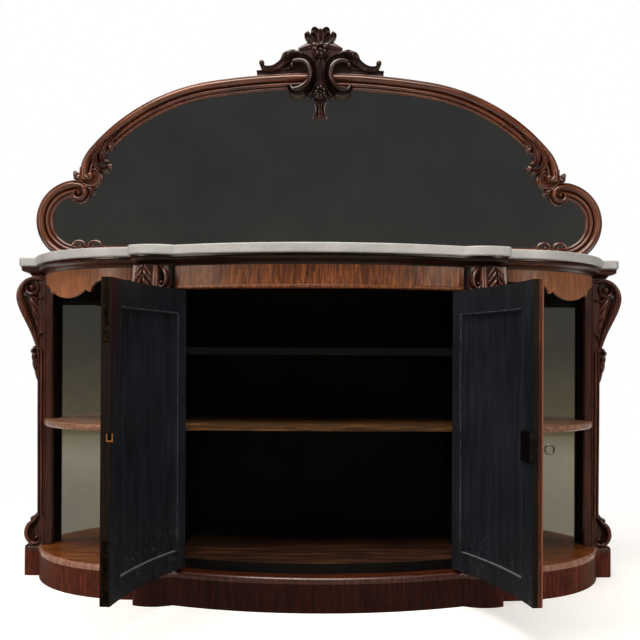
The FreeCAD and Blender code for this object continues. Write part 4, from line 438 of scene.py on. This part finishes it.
def smooth_path(points, count):
    """count rows evenly spaced along a smooth curve through the points; every column is carried along."""
    known = np.array(points, float)
    ahead = np.vstack([2 * known[0] - known[1], known, 2 * known[-1] - known[-2]])
    t = np.linspace(0, 1, 16, endpoint=False)[:, None]
    rows = []
    for p0, p1, p2, p3 in zip(ahead, ahead[1:], ahead[2:], ahead[3:]):
        bend = 2 * p0 - 5 * p1 + 4 * p2 - p3 + t * (3 * p1 - p0 - 3 * p2 + p3)
        rows.append(p1 + 0.5 * t * (p2 - p0 + t * bend))
    rows = np.vstack(rows + [known[-1:]])
    steps = np.concatenate([[0], np.cumsum(np.hypot(*np.diff(rows[:, :2], axis=0).T))])
    even = np.linspace(0, steps[-1], count)
    return np.column_stack([np.interp(even, steps, column) for column in rows.T])


def sideways(rows):
    """The unit normals of a path, to the left of the way it runs."""
    way = np.gradient(rows[:, :2], axis=0)
    way /= np.hypot(way[:, 0], way[:, 1])[:, None]
    return np.column_stack([-way[:, 1], way[:, 0]])


class Carving:
    """Closed shapes in relief, in millimetres: x and z lie in the face, height stands out of it."""

    def __init__(self, face_y):
        self.face_y = face_y
        self.corners = []
        self.faces = []

    def place(self, x, z, height):
        """The point in the scene, in metres."""
        return x * MM, self.face_y - height * MM, z * MM

    def rings(self, rings):
        """A closed skin over rings of (x, z, height) points, capped at both ends."""
        rings = np.array(rings, float)
        count, size = rings.shape[:2]
        first = len(self.corners)
        self.corners += [self.place(*point) for point in rings.reshape(-1, 3)]
        for i in range(count - 1):
            for j in range(size):
                k = (j + 1) % size
                self.faces.append((first + i * size + j, first + i * size + k,
                                   first + (i + 1) * size + k, first + (i + 1) * size + j))
        self.faces.append(tuple(first + j for j in reversed(range(size))))
        self.faces.append(tuple(first + (count - 1) * size + j for j in range(size)))

    def band(self, path, section, floor=0.0, base=0.0, count=70):
        """A moulded band: path rows are x, z, width, height above its floor and, if it has one, the floor's
        own rise; section runs across from -1 to 1 with heights from 0 to 1. It is solid down to its base."""
        rows = smooth_path(path, count)
        normals = sideways(rows)
        rings = []
        for (x, z, width, height, *rise), (nx, nz) in zip(rows, normals):
            low = floor + sum(rise)
            ring = [(x + nx * a * width / 2, z + nz * a * width / 2, low + h * height) for a, h in section]
            ring.append((x + nx * width / 2, z + nz * width / 2, base))
            ring.append((x - nx * width / 2, z - nz * width / 2, base))
            rings.append(ring)
        self.rings(rings)

    def leaf(self, path, lobes, lean=1.0, notch=0.28, flute=0.35, vein=0.3, floor=0.0, base=0.0, count=90):
        """A carved leaf: path rows are x, z, left width, right width, height and, if it has one, the floor's
        rise. Flutes run from the vein out to the lobes of the edge; lean is how far they sweep to the tip."""
        rows = smooth_path(path, count)
        normals = sideways(rows)
        across = np.linspace(-1, 1, 27)
        edge_height, vein_width = 0.15, 0.09
        rings = []
        for step, ((x, z, left, right, height, *rise), (nx, nz)) in enumerate(zip(rows, normals)):
            ring = []
            low = floor + sum(rise)
            for t in across:
                # rib is 1 on the crown of a lobe and 0 in the flute beside it
                phase = lobes * step / (count - 1) - lean * abs(t)
                rib = math.sqrt(abs(math.sin(math.pi * phase)))
                wide = (left if t > 0 else right) * (1 - notch * (1 - rib) * t * t)
                shape = edge_height + (1 - edge_height) * (1 - abs(t) ** 2.4)
                shape *= 1 - flute * (1 - rib) * min(1.0, abs(t) * 4)
                shape -= vein * math.exp(-(t / vein_width) ** 2)
                ring.append((x + nx * t * wide, z + nz * t * wide, low + height * shape))
            ring.append((x + nx * left, z + nz * left, base))
            ring.append((x - nx * right, z - nz * right, base))
            rings.append(ring)
        self.rings(rings)

    def plate(self, outline, top, bottom=0.0):
        """A flat plate of this outline."""
        self.rings([[(x, z, height) for x, z in outline] for height in (bottom, top)])

    def dome(self, x, z, radius, height, floor=0.0, petals=0, base=0.0, eye=0.0):
        """A round boss; with petals it is a rosette round a sunk eye."""
        steps, turns = 16, 48
        smallest = 0.01
        rings = []
        for step in range(steps + 1):
            r = step / steps
            ring = []
            for turn in range(turns):
                angle = 2 * math.pi * turn / turns
                edge, h = radius, math.sqrt(1 - r * r)
                if petals:
                    # wave is 1 in the middle of a petal and 0 between two
                    wave = abs(math.sin(petals * angle / 2)) ** 0.6
                    edge = radius * (1 - 0.16 * (1 - wave))
                    swell = math.sin(math.pi * min(1.0, r * 1.05) ** 1.5)
                    h = (0.4 + 0.6 * swell) * (1 - 0.7 * (1 - wave) * r)
                    if r < eye:
                        h = 0.1 + 0.3 * math.sqrt(1 - (r / eye) ** 2)
                reach = edge * r if r else smallest
                ring.append((x + reach * math.cos(angle), z + reach * math.sin(angle), floor + height * h))
            rings.append(ring)
        rings.append([(p[0], p[1], base) for p in rings[-1]])
        self.rings(rings)

    def mirrored(self):
        """Adds the same shapes on the other side of the centre line."""
        first = len(self.corners)
        self.corners += [(-x, y, z) for x, y, z in self.corners[:first]]
        self.faces += [tuple(first + i for i in reversed(face)) for face in self.faces]

    def mesh(self, name):
        """The shapes as one mesh, facing outwards, with arrises of over 50 degrees kept crisp."""
        made = bpy.data.meshes.new(name)
        made.from_pydata(self.corners, [], self.faces)
        made.validate()
        shell = bmesh.new()
        shell.from_mesh(made)
        bmesh.ops.recalc_face_normals(shell, faces=shell.faces)
        shell.to_mesh(made)
        shell.free()
        made.shade_smooth()
        made.set_sharp_from_angle(angle=math.radians(50))
        return made


# Sections of bands, from -1 to 1 across and 0 to 1 high: a half round, a scroll with reeds on its outer side,
# a leaf with rolled edges, a flat strap, a strap with an edge bead, and the beads of a post
ROUND = [(-math.cos(math.pi * i / 12), math.sin(math.pi * i / 12)) for i in range(13)]
REEDED = [
    (-1, 0), (-1, 0.6), (-0.95, 0.78), (-0.84, 0.9), (-0.6, 0.97), (-0.3, 0.96), (-0.04, 0.86), (0.12, 0.7),
    (0.17, 0.62), (0.22, 0.82), (0.34, 1), (0.46, 0.86), (0.51, 0.64), (0.56, 0.82), (0.66, 0.98),
    (0.76, 0.84), (0.8, 0.62), (0.85, 0.78), (0.93, 0.84), (1, 0.6), (1, 0)]
SCOOP = [
    (-1, 0), (-1, 0.7), (-0.93, 0.93), (-0.8, 1), (-0.66, 0.92), (-0.5, 0.66), (-0.2, 0.46), (0.1, 0.42),
    (0.4, 0.52), (0.6, 0.72), (0.75, 0.86), (0.88, 0.86), (0.97, 0.66), (1, 0.4), (1, 0)]
FLAT = [(-1, 0), (-1, 0.96), (-0.94, 1), (0.94, 1), (1, 0.96), (1, 0)]
STRAP = [
    (-1, 0), (-1, 0.72), (-0.94, 0.86), (-0.8, 0.96), (-0.4, 1), (0.3, 0.98), (0.55, 0.92), (0.64, 0.8),
    (0.7, 0.72), (0.76, 0.86), (0.84, 0.92), (0.94, 0.84), (1, 0.6), (1, 0)]
POST_BEADS = [
    (-1, 0), (-1, 0.5), (-0.86, 0.84), (-0.6, 1), (-0.3, 0.96), (-0.12, 0.8), (-0.04, 0.62), (0.1, 0.74),
    (0.5, 0.78), (0.9, 0.7), (1, 0.5), (1, 0)]


def piece(name, mesh, body, slot, *replaced):
    """A finished piece on its body, in place of the plain solids."""
    made = bpy.data.objects.new(name, mesh)
    scene.collection.objects.link(made)
    dress(made, FINISHES[slot])
    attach(made, body)
    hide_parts(*replaced)
    return made


# Face of the frame that the mirror's mouldings and carvings stand on
MIRROR_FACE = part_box("mirror_ground_frame")[0].y


def carved_crest():
    """The crest: a lobed palmette, a rosette, two reeded C-scrolls with ball ends back to back, long leaves
    running out to curled feet, and a husk that drops over the glass."""
    crest = Carving(MIRROR_FACE)
    crest.plate([
        (0, 1696), (-14, 1698), (-27, 1693), (-37, 1684), (-37, 1670), (-42, 1662), (-56, 1653), (-66, 1645),
        (-64, 1636), (-78, 1630), (-104, 1622), (-115, 1614), (-121, 1602), (-134, 1588), (-152, 1578),
        (-180, 1578), (-200, 1571), (-200, 1560), (-90, 1560), (-60, 1556), (-34, 1548), (-30, 1510),
        (-16, 1492), (-9, 1470), (0, 1460)], 8.0, -1.0)
    crest.band([(-201, 1571, 7, 14), (-150, 1576, 7, 14), (-96, 1579, 7, 14)], ROUND)
    # the long leaf from the heart of the crest out to its curled foot, and the lobe that lies over it
    crest.band([
        (-52, 1622, 12, 12), (-74, 1622, 18, 14), (-96, 1614, 23, 16), (-114, 1601, 24, 17),
        (-130, 1588, 22, 16), (-147, 1579, 20, 16), (-165, 1577, 18, 15), (-180, 1582, 14, 14),
        (-187, 1594, 10, 13)], SCOOP, floor=5, count=90)
    crest.dome(-185, 1598, 9, 14, floor=5)
    crest.leaf([
        (-58, 1622, 5, 5, 9), (-76, 1628, 8, 9, 14), (-96, 1626, 10, 11, 16), (-112, 1618, 10, 10, 15),
        (-121, 1607, 5, 6, 11)], 3, lean=0.8, notch=0.22, flute=0.5, vein=0.0, floor=14)
    crest.dome(-119, 1608, 6, 12, floor=12)
    # the reeded C-scroll
    crest.band([
        (-91, 1591, 9, 13), (-90, 1600, 16, 15), (-79, 1605, 23, 18), (-61, 1606, 27, 21),
        (-43, 1599, 29, 24), (-30, 1583, 29, 26), (-25, 1562, 29, 27), (-28, 1541, 30, 27),
        (-39, 1521, 32, 26), (-60, 1506, 33, 24), (-82, 1504, 27, 21), (-94, 1512, 18, 18),
        (-93, 1521, 10, 15)], REEDED, floor=15, count=130)
    crest.dome(-90, 1588, 8.5, 15, floor=13)
    crest.dome(-93, 1522, 9, 16, floor=13)
    # the shoulder over the scroll, beside the rosette
    crest.band([
        (-4, 1655, 20, 9), (-30, 1653, 25, 10), (-50, 1647, 21, 9), (-70, 1641, 11, 6)], ROUND, floor=4)
    # the palmette: a pair of stems inside, two curled lobes on each side
    crest.band([
        (-5, 1652, 8, 9), (-7, 1673, 15, 14), (-11, 1690, 20, 18), (-20, 1699, 16, 18), (-27, 1692, 9, 15)],
        SCOOP, floor=9)
    crest.band([
        (-9, 1650, 12, 8), (-21, 1663, 21, 13), (-33, 1673, 24, 16), (-43, 1682, 18, 16),
        (-45, 1692, 10, 14)], SCOOP, floor=5)
    crest.dome(-25, 1690, 6.5, 15, floor=12)
    crest.dome(-40, 1689, 7.5, 15, floor=9)
    # the stem that opens downwards between the scrolls
    crest.band([
        (-1, 1612, 4, 12), (-4, 1585, 4, 14), (-5, 1553, 4, 15), (-9, 1532, 5, 15), (-17, 1516, 6, 15),
        (-26, 1501, 7, 13), (-36, 1488, 6, 10)], ROUND, floor=21)
    crest.dome(-37, 1486, 5.5, 14, floor=12)
    # the curled lip of the husk
    crest.band([
        (-17, 1486, 5, 12), (-17, 1472, 6, 13), (-12, 1456, 6, 12), (-13, 1440, 6, 12), (-19, 1427, 7, 11)],
        ROUND)
    crest.dome(-20, 1425, 5, 11)
    crest.mirrored()
    crest.dome(0, 1699, 8, 14, floor=8)
    crest.dome(0, 1635, 26, 17, floor=18, petals=7, eye=0.5)
    crest.dome(0, 1501, 22, 18, floor=20, petals=7, eye=0.5)
    crest.plate([
        (-6, 1604), (6, 1604), (14, 1592), (21, 1575), (22, 1545), (24, 1520), (18, 1502), (-18, 1502),
        (-24, 1520), (-22, 1545), (-21, 1575), (-14, 1592)], 26.6, 6)
    crest.leaf([
        (0, 1484, 8, 8, 9), (0, 1462, 9, 9, 12), (0, 1442, 11, 11, 13), (0, 1427, 9, 9, 11),
        (0, 1416, 2, 2, 6)], 3, lean=0.5, notch=0.2, flute=0.4, vein=0.4)
    piece("crest_carving", crest.mesh("crest_carving"), "carcass", "dark_carving", "crest")


# Section of the mirror's mouldings from the outer edge in: fillet, wide bead, quirk, middle bead, quirk and
# thin bead at the glass; millimetres from the outer edge and out of the face
MOULDING = [(1 - across / (MOULDING_WIDTH / 2), proud / MOULDING_HEIGHT) for across, proud in [
    (0, 0), (0, 9), (0.6, 11), (1.6, 12), (2.8, 12), (3.4, 10.6), (4, 12.4), (5, 16.4),
    (7, 20.6), (9.6, 23.6), (12.6, 25.4), (15.6, 26), (18.6, 25.2), (21.6, 22.9), (24, 19.6), (25.8, 15.4),
    (26.6, 11.4), (27.4, 9), (28.2, 9.6), (29.2, 12), (31, 14.4), (33.4, 15.8), (35.8, 15.6), (38, 14),
    (39.6, 11.4), (40.4, 8.6), (41.2, 6.6), (42, 6.8), (42.8, 8.2), (44.2, 9.4), (45.8, 9.6), (47.4, 8.8),
    (48.8, 6.8), (49.6, 4), (50, 0)]]
# The arch's top, and the arcs of its right half: the radius of each and the angles it runs between
ARCH_TOP = 1566.0
ARCH_ARCS = ((2200.0, 0, 9), (626.5, 9, 50), (131.9, 50, 90))


def arch_line(inset, drop):
    """Points of the arch, from the left spring line over the top to the right one, inset from its outer edge.
    Both ends go on straight down by drop."""
    right = []
    x, z = 0.0, ARCH_TOP - inset
    steps = 24
    for radius, start, stop in ARCH_ARCS:
        radius -= inset
        first = math.radians(start)
        arc = []
        for step in range(steps + 1):
            turn = math.radians(start + (stop - start) * step / steps)
            arc.append((x + radius * (math.sin(turn) - math.sin(first)),
                        z - radius * (math.cos(first) - math.cos(turn))))
        right += arc[:-1]
        x, z = arc[-1]
    right += [(x, z), (x, z - drop)]
    return [(-px, pz) for px, pz in reversed(right)][:-1] + right


def curl(centre, turns):
    """Path rows round a volute's centre from (angle in degrees, radius, width, height) rows."""
    return [(centre[0] + r * math.cos(math.radians(a)), centre[1] + r * math.sin(math.radians(a)), w, h)
            for a, r, w, h in turns]


def disc(centre, radius):
    """The outline of a round plate."""
    return [(x, z) for x, z, *_ in curl(centre, [(angle, radius, 0, 0) for angle in range(0, 360, 6)])]


def arch_volute():
    """The left end of the arch: the wide bead ends in a knob, and the outer fillet swells into a ring
    round it."""
    made = Carving(MIRROR_FACE)
    x, z = ARCH_EYE
    made.plate(disc(ARCH_EYE, 36), 9)
    made.band([
        (-742.4, 1264, 23, 26), (-742.4, 1251, 23, 26), (-739.5, 1240, 22, 26), (-733, 1231.5, 20, 26),
        (-724.5, 1228.5, 18, 25), (-717, 1231.5, 15, 24), (-714.5, 1238.5, 11, 22)], ROUND, count=90)
    made.dome(x - 1, z + 1, 12, 21, floor=9)
    made.band([(-755.5, 1264, 5, 12), (-755.4, 1250, 6, 13)] + curl(ARCH_EYE, [
        (180, 34.2, 8, 15), (215, 33, 10, 17), (250, 32, 12, 19), (285, 31.2, 14, 21), (320, 30.4, 15, 22),
        (355, 29.4, 15, 22), (390, 27.6, 14, 21), (415, 25, 12, 19), (437, 20.5, 9, 17), (455, 15, 6, 14)]),
        ROUND, count=120)
    return made


def lobe_volute():
    """The inner end of a lobe: the beads roll over, down and in to an eye."""
    made = Carving(MIRROR_FACE)
    x, z = LOBE_EYE
    made.plate(disc(LOBE_EYE, 31), 9)
    made.band([(-806, 1215.5, 5, 12), (-786, 1221, 5, 12)] + curl(LOBE_EYE, [
        (100, 38.2, 5, 13), (70, 36.8, 5, 13), (40, 35.6, 5, 14), (10, 34.4, 5, 14), (-20, 33.2, 5, 15),
        (-50, 32, 5, 15), (-80, 30.6, 5, 14), (-110, 28.6, 4, 13)]), ROUND, count=100)
    made.band([(-803, 1201, 23, 26), (-784, 1206, 23, 26)] + curl(LOBE_EYE, [
        (100, 24.6, 21, 26), (65, 23.6, 20, 26), (30, 22.6, 19, 26), (-5, 21.6, 18, 26), (-40, 20.6, 17, 26),
        (-75, 19.6, 16, 26), (-110, 18.2, 14.5, 26), (-145, 16, 12.5, 25), (-180, 13.2, 10.5, 25),
        (-215, 10.4, 9, 24), (-250, 7.8, 7.5, 24), (-285, 5.6, 6.5, 23)]), ROUND, count=150)
    made.dome(x + 1, z - 1, 6.5, 17, floor=9)
    return made


def frame_leaves():
    """Carved leaf down the inside of the arch in three nested lobes with curled ends, a small lobed leaf in
    the outer angle, and the fluted leaf that ties the two volutes."""
    made = Carving(MIRROR_FACE)
    made.band([
        (-594, 1408, 4, 4), (-628, 1384, 11, 9), (-648, 1361, 15, 12), (-658, 1341, 17, 14),
        (-659, 1326, 15, 14)], SCOOP, floor=9, count=70)
    made.dome(-659, 1325, 9, 17, floor=6)
    made.band([
        (-612, 1400, 4, 4), (-645, 1375, 12, 11), (-670, 1345, 17, 15), (-682, 1317, 18, 17),
        (-684, 1297, 16, 18), (-680, 1282, 12, 17), (-672, 1278, 9, 15)], SCOOP, floor=11, count=90)
    made.dome(-671, 1282, 7.5, 19, floor=8)
    made.band([
        (-640, 1386, 4, 5), (-677, 1351, 13, 13), (-699, 1318, 17, 17), (-707, 1291, 18, 19),
        (-700, 1268, 17, 20), (-683, 1257, 16, 20), (-667, 1260, 12, 18)], SCOOP, floor=12, count=100)
    made.dome(-661, 1266, 9, 21, floor=8)
    # the small leaf outside, behind the mouldings
    made.leaf([
        (-742, 1214, 8, 8, 12), (-758, 1228, 14, 13, 17), (-770, 1243, 15, 12, 17), (-778, 1254, 6, 6, 12)],
        3, lean=0.5, notch=0.3, flute=0.4, vein=0.1, floor=-12, base=-15.5)
    # the leaf that ties the volutes
    made.leaf([
        (-744, 1211, 8, 8, 14), (-730, 1201, 12, 12, 20), (-716, 1190, 11, 12, 20), (-704, 1180, 4, 5, 13)],
        3, lean=0.8, notch=0.15, flute=0.55, vein=0.0)
    return made


def base_curls():
    """Two small C-curls on the left end of the base moulding, back to back."""
    made = Carving(MIRROR_FACE)
    for middle, way in ((-757, 1), (-709, -1)):
        made.band([(middle + way * x, z, width, height) for x, z, width, height in (
            (-24, 1004, 9, 9), (-21, 1018, 10, 11), (-12, 1029, 10, 12), (0, 1032, 10, 12), (12, 1028, 9, 12),
            (18, 1018, 8, 11), (12, 1010, 7, 10), (4, 1012, 6, 10))], ROUND, count=70)
        made.dome(middle + way * 4, 1016, 6.5, 12)
    return made


def two_sided(shape, name, slot, node):
    """The shape as a left piece, and its mirror image as the right piece."""
    for side in ("left", "right"):
        mesh = shape.mesh(side + name)
        if side == "right":
            mesh.transform(Matrix.Scale(-1, 4, (1, 0, 0)))
            mesh.flip_normals()
        piece(side + name, mesh, "carcass", slot, node.format(side))


def mirror_mouldings():
    """The arch and the two lobes: a crisp run moulding, ending in carved volutes."""
    run = Carving(MIRROR_FACE)
    line = arch_line(inset=MOULDING_WIDTH / 2, drop=14)
    run.band([(x, z, MOULDING_WIDTH, MOULDING_HEIGHT) for x, z in line], MOULDING, count=260)
    piece("arch_moulding_run", run.mesh("arch_moulding_run"), "carcass", "frame_walnut", "arch_moulding")
    ring = Carving(MIRROR_FACE)
    ring.band(curl(LOBE_CENTRE, [(angle, LOBE_RADIUS, MOULDING_WIDTH, MOULDING_HEIGHT)
                                 for angle in range(268, 92, -6)]), MOULDING, count=120)
    two_sided(ring, "_lobe_run", "frame_walnut", "{}_lobe_moulding")
    two_sided(arch_volute(), "_arch_volute", "frame_walnut", "arch_moulding")
    two_sided(lobe_volute(), "_lobe_volute", "frame_walnut", "{}_lobe_moulding")
    two_sided(frame_leaves(), "_frame_leaf_carving", "dark_carving", "{}_frame_leaf")
    two_sided(base_curls(), "_base_curls", "frame_walnut", "base_curls")


def carved_console():
    """The left console: a volute under the cornice, a plain strap sweeping in to a flower, acanthus between
    strap and post, a leaf drop, a slim shin, a leafy scroll foot, and the beads of the post beside them."""
    made = Carving(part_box("left_console")[1].y)
    eye = (-880.0, 879.0)
    made.plate(disc(eye, 26), 34)
    made.band(curl(eye, [(60, 24, 7, 14), (20, 23, 9, 17), (-30, 22, 10, 19), (-80, 20.5, 10, 19),
                         (-130, 18.5, 9, 18), (-180, 16, 7, 16), (-220, 13.5, 5, 14)]), ROUND, floor=34,
              count=90)
    made.dome(*eye, 9.5, 17, floor=34)
    made.band([
        (-846, 903, 12, 16), (-862, 906, 12, 18), (-880, 905, 12, 20), (-898, 894, 15, 22),
        (-911, 873, 19, 23), (-914, 849, 22, 23), (-907, 820, 22, 22), (-893, 788, 21, 21),
        (-877, 753, 19, 19), (-866, 720, 15, 17), (-861, 697, 11, 14)], STRAP, floor=32, count=110)
    # acanthus fanning from under the volute to the post, and its curls
    made.leaf([
        (-888, 862, 10, 6, 8), (-884, 842, 24, 12, 13), (-877, 815, 27, 13, 15), (-868, 784, 22, 12, 15),
        (-861, 750, 15, 9, 13), (-857, 718, 8, 6, 10), (-856, 702, 3, 3, 6)], 5, lean=1.6, notch=0.1,
        flute=0.65, vein=0.1, floor=34)
    made.band([
        (-866, 836, 4, 8), (-858, 846, 6, 12), (-849, 848, 6, 13), (-844, 842, 5, 12)], ROUND, floor=42)
    made.band([
        (-860, 716, 4, 8), (-856, 730, 6, 11), (-850, 740, 6, 12), (-844, 742, 5, 11)], ROUND, floor=42)
    made.leaf([(-900, 822, 5, 5, 10), (-909, 805, 8, 7, 12), (-911, 790, 4, 4, 8)], 2, notch=0.2, floor=22)
    # the hanging husk
    made.dome(-866, 684, 17, 17, floor=36, petals=5, eye=0.4)
    made.leaf([
        (-867, 676, 8, 14, 12), (-866, 654, 8, 15, 14), (-863, 630, 7, 12, 13), (-859, 606, 6, 9, 11),
        (-856, 582, 4, 4, 8)], 3, lean=0.7, notch=0.3, flute=0.5, vein=0.3, floor=36)
    made.band([
        (-851.5, 690, 15, 12), (-851.5, 500, 15, 12), (-850.5, 300, 15, 12), (-850, 180, 15, 12)], POST_BEADS,
        floor=42, base=8, count=40)
    made.band([(-838, 904, 5, 4), (-838, 94, 5, 4)], ROUND, floor=43, base=40, count=8)
    made.band([(-818, 832, 4, 3), (-818, 94, 4, 3)], ROUND, floor=43, base=40, count=8)
    # the scroll foot
    made.band([
        (-852, 200, 9, 12), (-858, 188, 10, 14), (-867, 177, 9, 14), (-875, 172, 7, 13)], ROUND, floor=36)
    made.dome(-875, 172, 6.5, 15, floor=36)
    made.band([
        (-853, 184, 12, 13), (-865, 166, 18, 16), (-881, 149, 24, 18), (-886, 126, 24, 19),
        (-877, 107, 22, 19), (-861, 103, 16, 18), (-853, 112, 10, 17), (-857, 120, 7, 15)], REEDED, floor=34,
        count=110)
    made.plate([
        (-860, 180), (-872, 168), (-890, 150), (-894, 128), (-888, 106), (-876, 94), (-848, 94), (-844, 180)],
        34)
    made.dome(-859, 117, 6.5, 17, floor=38)
    return made


def carved_corbel():
    """The left corbel: a fanned acanthus over its rounded front, a plain polished strap beside it, and a
    hooked scroll on the inner edge."""
    made = Carving(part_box("left_corbel")[1].y)
    made.band([
        (-468, 914, 68, 20), (-468, 890, 70, 24), (-468, 860, 72, 29), (-468, 832, 70, 30),
        (-468, 808, 64, 24), (-468, 797, 56, 12)], FLAT, count=40)
    made.leaf([
        (-473, 914, 14, 13, 10, 20), (-474, 898, 22, 19, 15, 24), (-475, 878, 28, 23, 18, 28),
        (-475, 856, 30, 24, 19, 30), (-475, 834, 29, 24, 19, 30), (-476, 814, 21, 18, 17, 25),
        (-476, 798, 6, 6, 11, 14)], 5, lean=1.5, notch=0.3, flute=0.75, vein=0.5, count=110)
    made.band([
        (-442, 914, 19, 10, 20), (-441, 890, 21, 13, 24), (-441, 860, 22, 14, 29), (-441, 832, 22, 14, 30),
        (-442, 808, 20, 12, 24), (-443, 797, 16, 7, 12)], ROUND, count=60)
    made.band([
        (-429, 912, 8, 9, 16), (-418, 900, 12, 13, 20), (-412, 882, 13, 16, 24), (-414, 864, 12, 16, 26),
        (-423, 855, 9, 15, 26), (-430, 862, 7, 13, 26), (-426, 870, 5, 12, 26)], ROUND, count=80)
    made.dome(-424, 868, 5.5, 15, floor=26)
    made.band([
        (-429, 850, 9, 10, 26), (-419, 832, 13, 13, 26), (-417, 816, 12, 12, 24), (-425, 801, 8, 9, 16)],
        ROUND, count=50)
    return made


carved_crest()
mirror_mouldings()
two_sided(carved_console(), "_console_carving", "dark_carving", "{}_console")
two_sided(carved_corbel(), "_corbel_carving", "dark_carving", "{}_corbel")


# The studio

def sheet(name, corners):
    """A flat four-cornered sheet."""
    mesh = bpy.data.meshes.new(name)
    mesh.from_pydata(corners, [], [(0, 1, 2, 3)])
    made = bpy.data.objects.new(name, mesh)
    scene.collection.objects.link(made)
    return made


def upright(x0, y0, x1, y1, foot, top):
    """Corners of a sheet that stands between two places."""
    return [(x0, y0, foot), (x1, y1, foot), (x1, y1, top), (x0, y0, top)]


def level(side, front, back, height):
    """Corners of a sheet that lies at this height."""
    return [(-side, front, height), (side, front, height), (side, back, height), (-side, back, height)]


def background_rays(tree):
    """1 for the rays that see the white background: the camera's, and those off metal and through glass."""
    ray = add(tree, "LightPath").outputs
    seen = add(tree, "Math", (ray["Is Camera Ray"], ray["Is Glossy Ray"]), operation="MAXIMUM")
    return add(tree, "Math", (seen, ray["Is Transmission Ray"]), operation="MAXIMUM")


def pale_floor():
    """The studio floor: near white to the camera with the object's shadow on it, and white far off."""
    reach = 14.0
    white_from, white_by = 1.15, 2.1
    floor = sheet("studio_floor", level(reach, -reach, reach, 0))
    made, tree, place = blank("painted studio floor")
    grit = add(tree, "TexNoise", {"Vector": place, "Scale": per(500), "Detail": 4.0})
    tone = add(tree, "ValToRGB", (grit,), stops=[(0.3, "#dedddb"), (0.7, "#e6e5e3")])
    paint = add(tree, "BsdfPrincipled", {"Base Color": tone, "Roughness": 0.7})
    lifted = add(tree, "AddShader", (paint, add(tree, "Emission", (WHITE, 0.42))))
    away = add(tree, "VectorMath", (place,), operation="LENGTH")
    away = add(tree, "MapRange", (away, white_from, white_by))
    lightened = add(tree, "MixShader", (away, lifted, add(tree, "Emission", (WHITE, 1.0))))
    add(tree, "OutputMaterial", (add(tree, "MixShader", (background_rays(tree), paint, lightened)),))
    dress(floor, made)
    return floor


def flag(name, corners, foot_tone, middle_tone, top_tone, axis, low, high):
    """A dark studio flag that only polish and mirrors see; its tone changes along an axis, low to high."""
    made = sheet(name, corners)
    material, tree, place = blank(name + " cloth")
    share = add(tree, "MapRange", (add(tree, "SeparateXYZ", (place,)).outputs[axis], low, high))
    tone = add(tree, "ValToRGB", (share,), stops=[(0.0, foot_tone), (0.35, middle_tone), (1.0, top_tone)])
    add(tree, "OutputMaterial", (add(tree, "Emission", (tone, 1.0)),))
    dress(made, material)
    for kind in ("camera", "diffuse", "shadow", "transmission"):
        setattr(made, "visible_" + kind, False)
    return made


def dark_tent():
    """Dark cloths round the studio, so that the polish keeps its depth and the mirrors stay dark: grey-brown
    underfoot and low down, dark grey above. The white background shows between them at the back."""
    front, back, side, top = -4.6, 0.3, 5.0, 4.4
    ground = 0.4 * MM
    inner_side, inner_foot = 3.6, 0.4
    sides = ("#3a342c", "#25221f", "#1b1a1c", "Z", 0.0, top)
    return (
        flag("studio_flag_front", upright(-side, front, side, front, 0, top),
             "#756850", "#4f4a41", "#43413f", "Z", 0.0, 2.2),
        flag("studio_flag_floor", level(side, front, back, ground),
             "#8f8068", "#a89b85", "#8d8371", "Y", front, back),
        flag("studio_flag_top", level(side, front, -front, top),
             "#1a1a1e", "#201f22", "#2a2827", "Y", front, -front),
        flag("studio_flag_left", upright(-side, front, -side, -front, 0, top), *sides),
        flag("studio_flag_right", upright(side, front, side, -front, 0, top), *sides),
        flag("studio_flag_back", upright(-inner_side, -front, inner_side, -front, inner_foot, top),
             "#5a4c42", "#3c332d", "#28231f", "Z", inner_foot, top))


def soft_light(name, place, aim, width, height, power, tint):
    """A soft box at place, aimed at a point; its size is in metres and its power in watts."""
    lamp = bpy.data.lights.new(name, "AREA")
    lamp.shape = "RECTANGLE"
    lamp.size = width
    lamp.size_y = height
    lamp.energy = power
    lamp.color = linear(tint)[:3]
    made = bpy.data.objects.new(name, lamp)
    made.location = place
    made.rotation_euler = (Vector(aim) - Vector(place)).to_track_quat("-Z", "Y").to_euler()
    scene.collection.objects.link(made)


def studio_world():
    """White behind the object, and a dim even fill on it."""
    world = bpy.data.worlds.new("studio")
    world.use_nodes = True
    tree = world.node_tree
    tree.nodes.clear()
    fill = add(tree, "Background", ("#eef1f6", 0.3))
    white = add(tree, "Background", (WHITE, 1.0))
    add(tree, "OutputWorld", (add(tree, "MixShader", (background_rays(tree), fill, white)),))
    scene.world = world


def photo_camera():
    """Stands where the photograph was taken from, by the fit to its measured points."""
    lens = bpy.data.cameras.new("camera")
    lens.sensor_width = 36
    lens.lens = 48.46
    lens.shift_y = 0.0552
    lens.clip_start = 0.05
    made = bpy.data.objects.new("camera", lens)
    made.location = (-0.0064, -2.5, 0.665)
    made.rotation_euler = (math.radians(90.22), math.radians(-0.275), math.radians(-0.206))
    scene.collection.objects.link(made)
    scene.camera = made


pale_floor()
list(dark_tent())
soft_light("key_overhead", (-0.5, -1.3, 3.9), (0, -0.1, 0.6), 3.2, 1.8, 170, "#fff6ea")
soft_light("left_front", (-3.1, -3.0, 2.3), (0, 0, 1.0), 1.3, 2.2, 50, "#ffeedd")
soft_light("right_front", (3.1, -3.0, 2.3), (0, 0, 1.0), 1.3, 2.2, 42, "#ffeedd")
soft_light("back_light", (0, 2.6, 2.6), (0, 0.2, 0.9), 3.0, 1.6, 30, "#fff0e0")
studio_world()
photo_camera()
scene.view_settings.view_transform = "Standard"
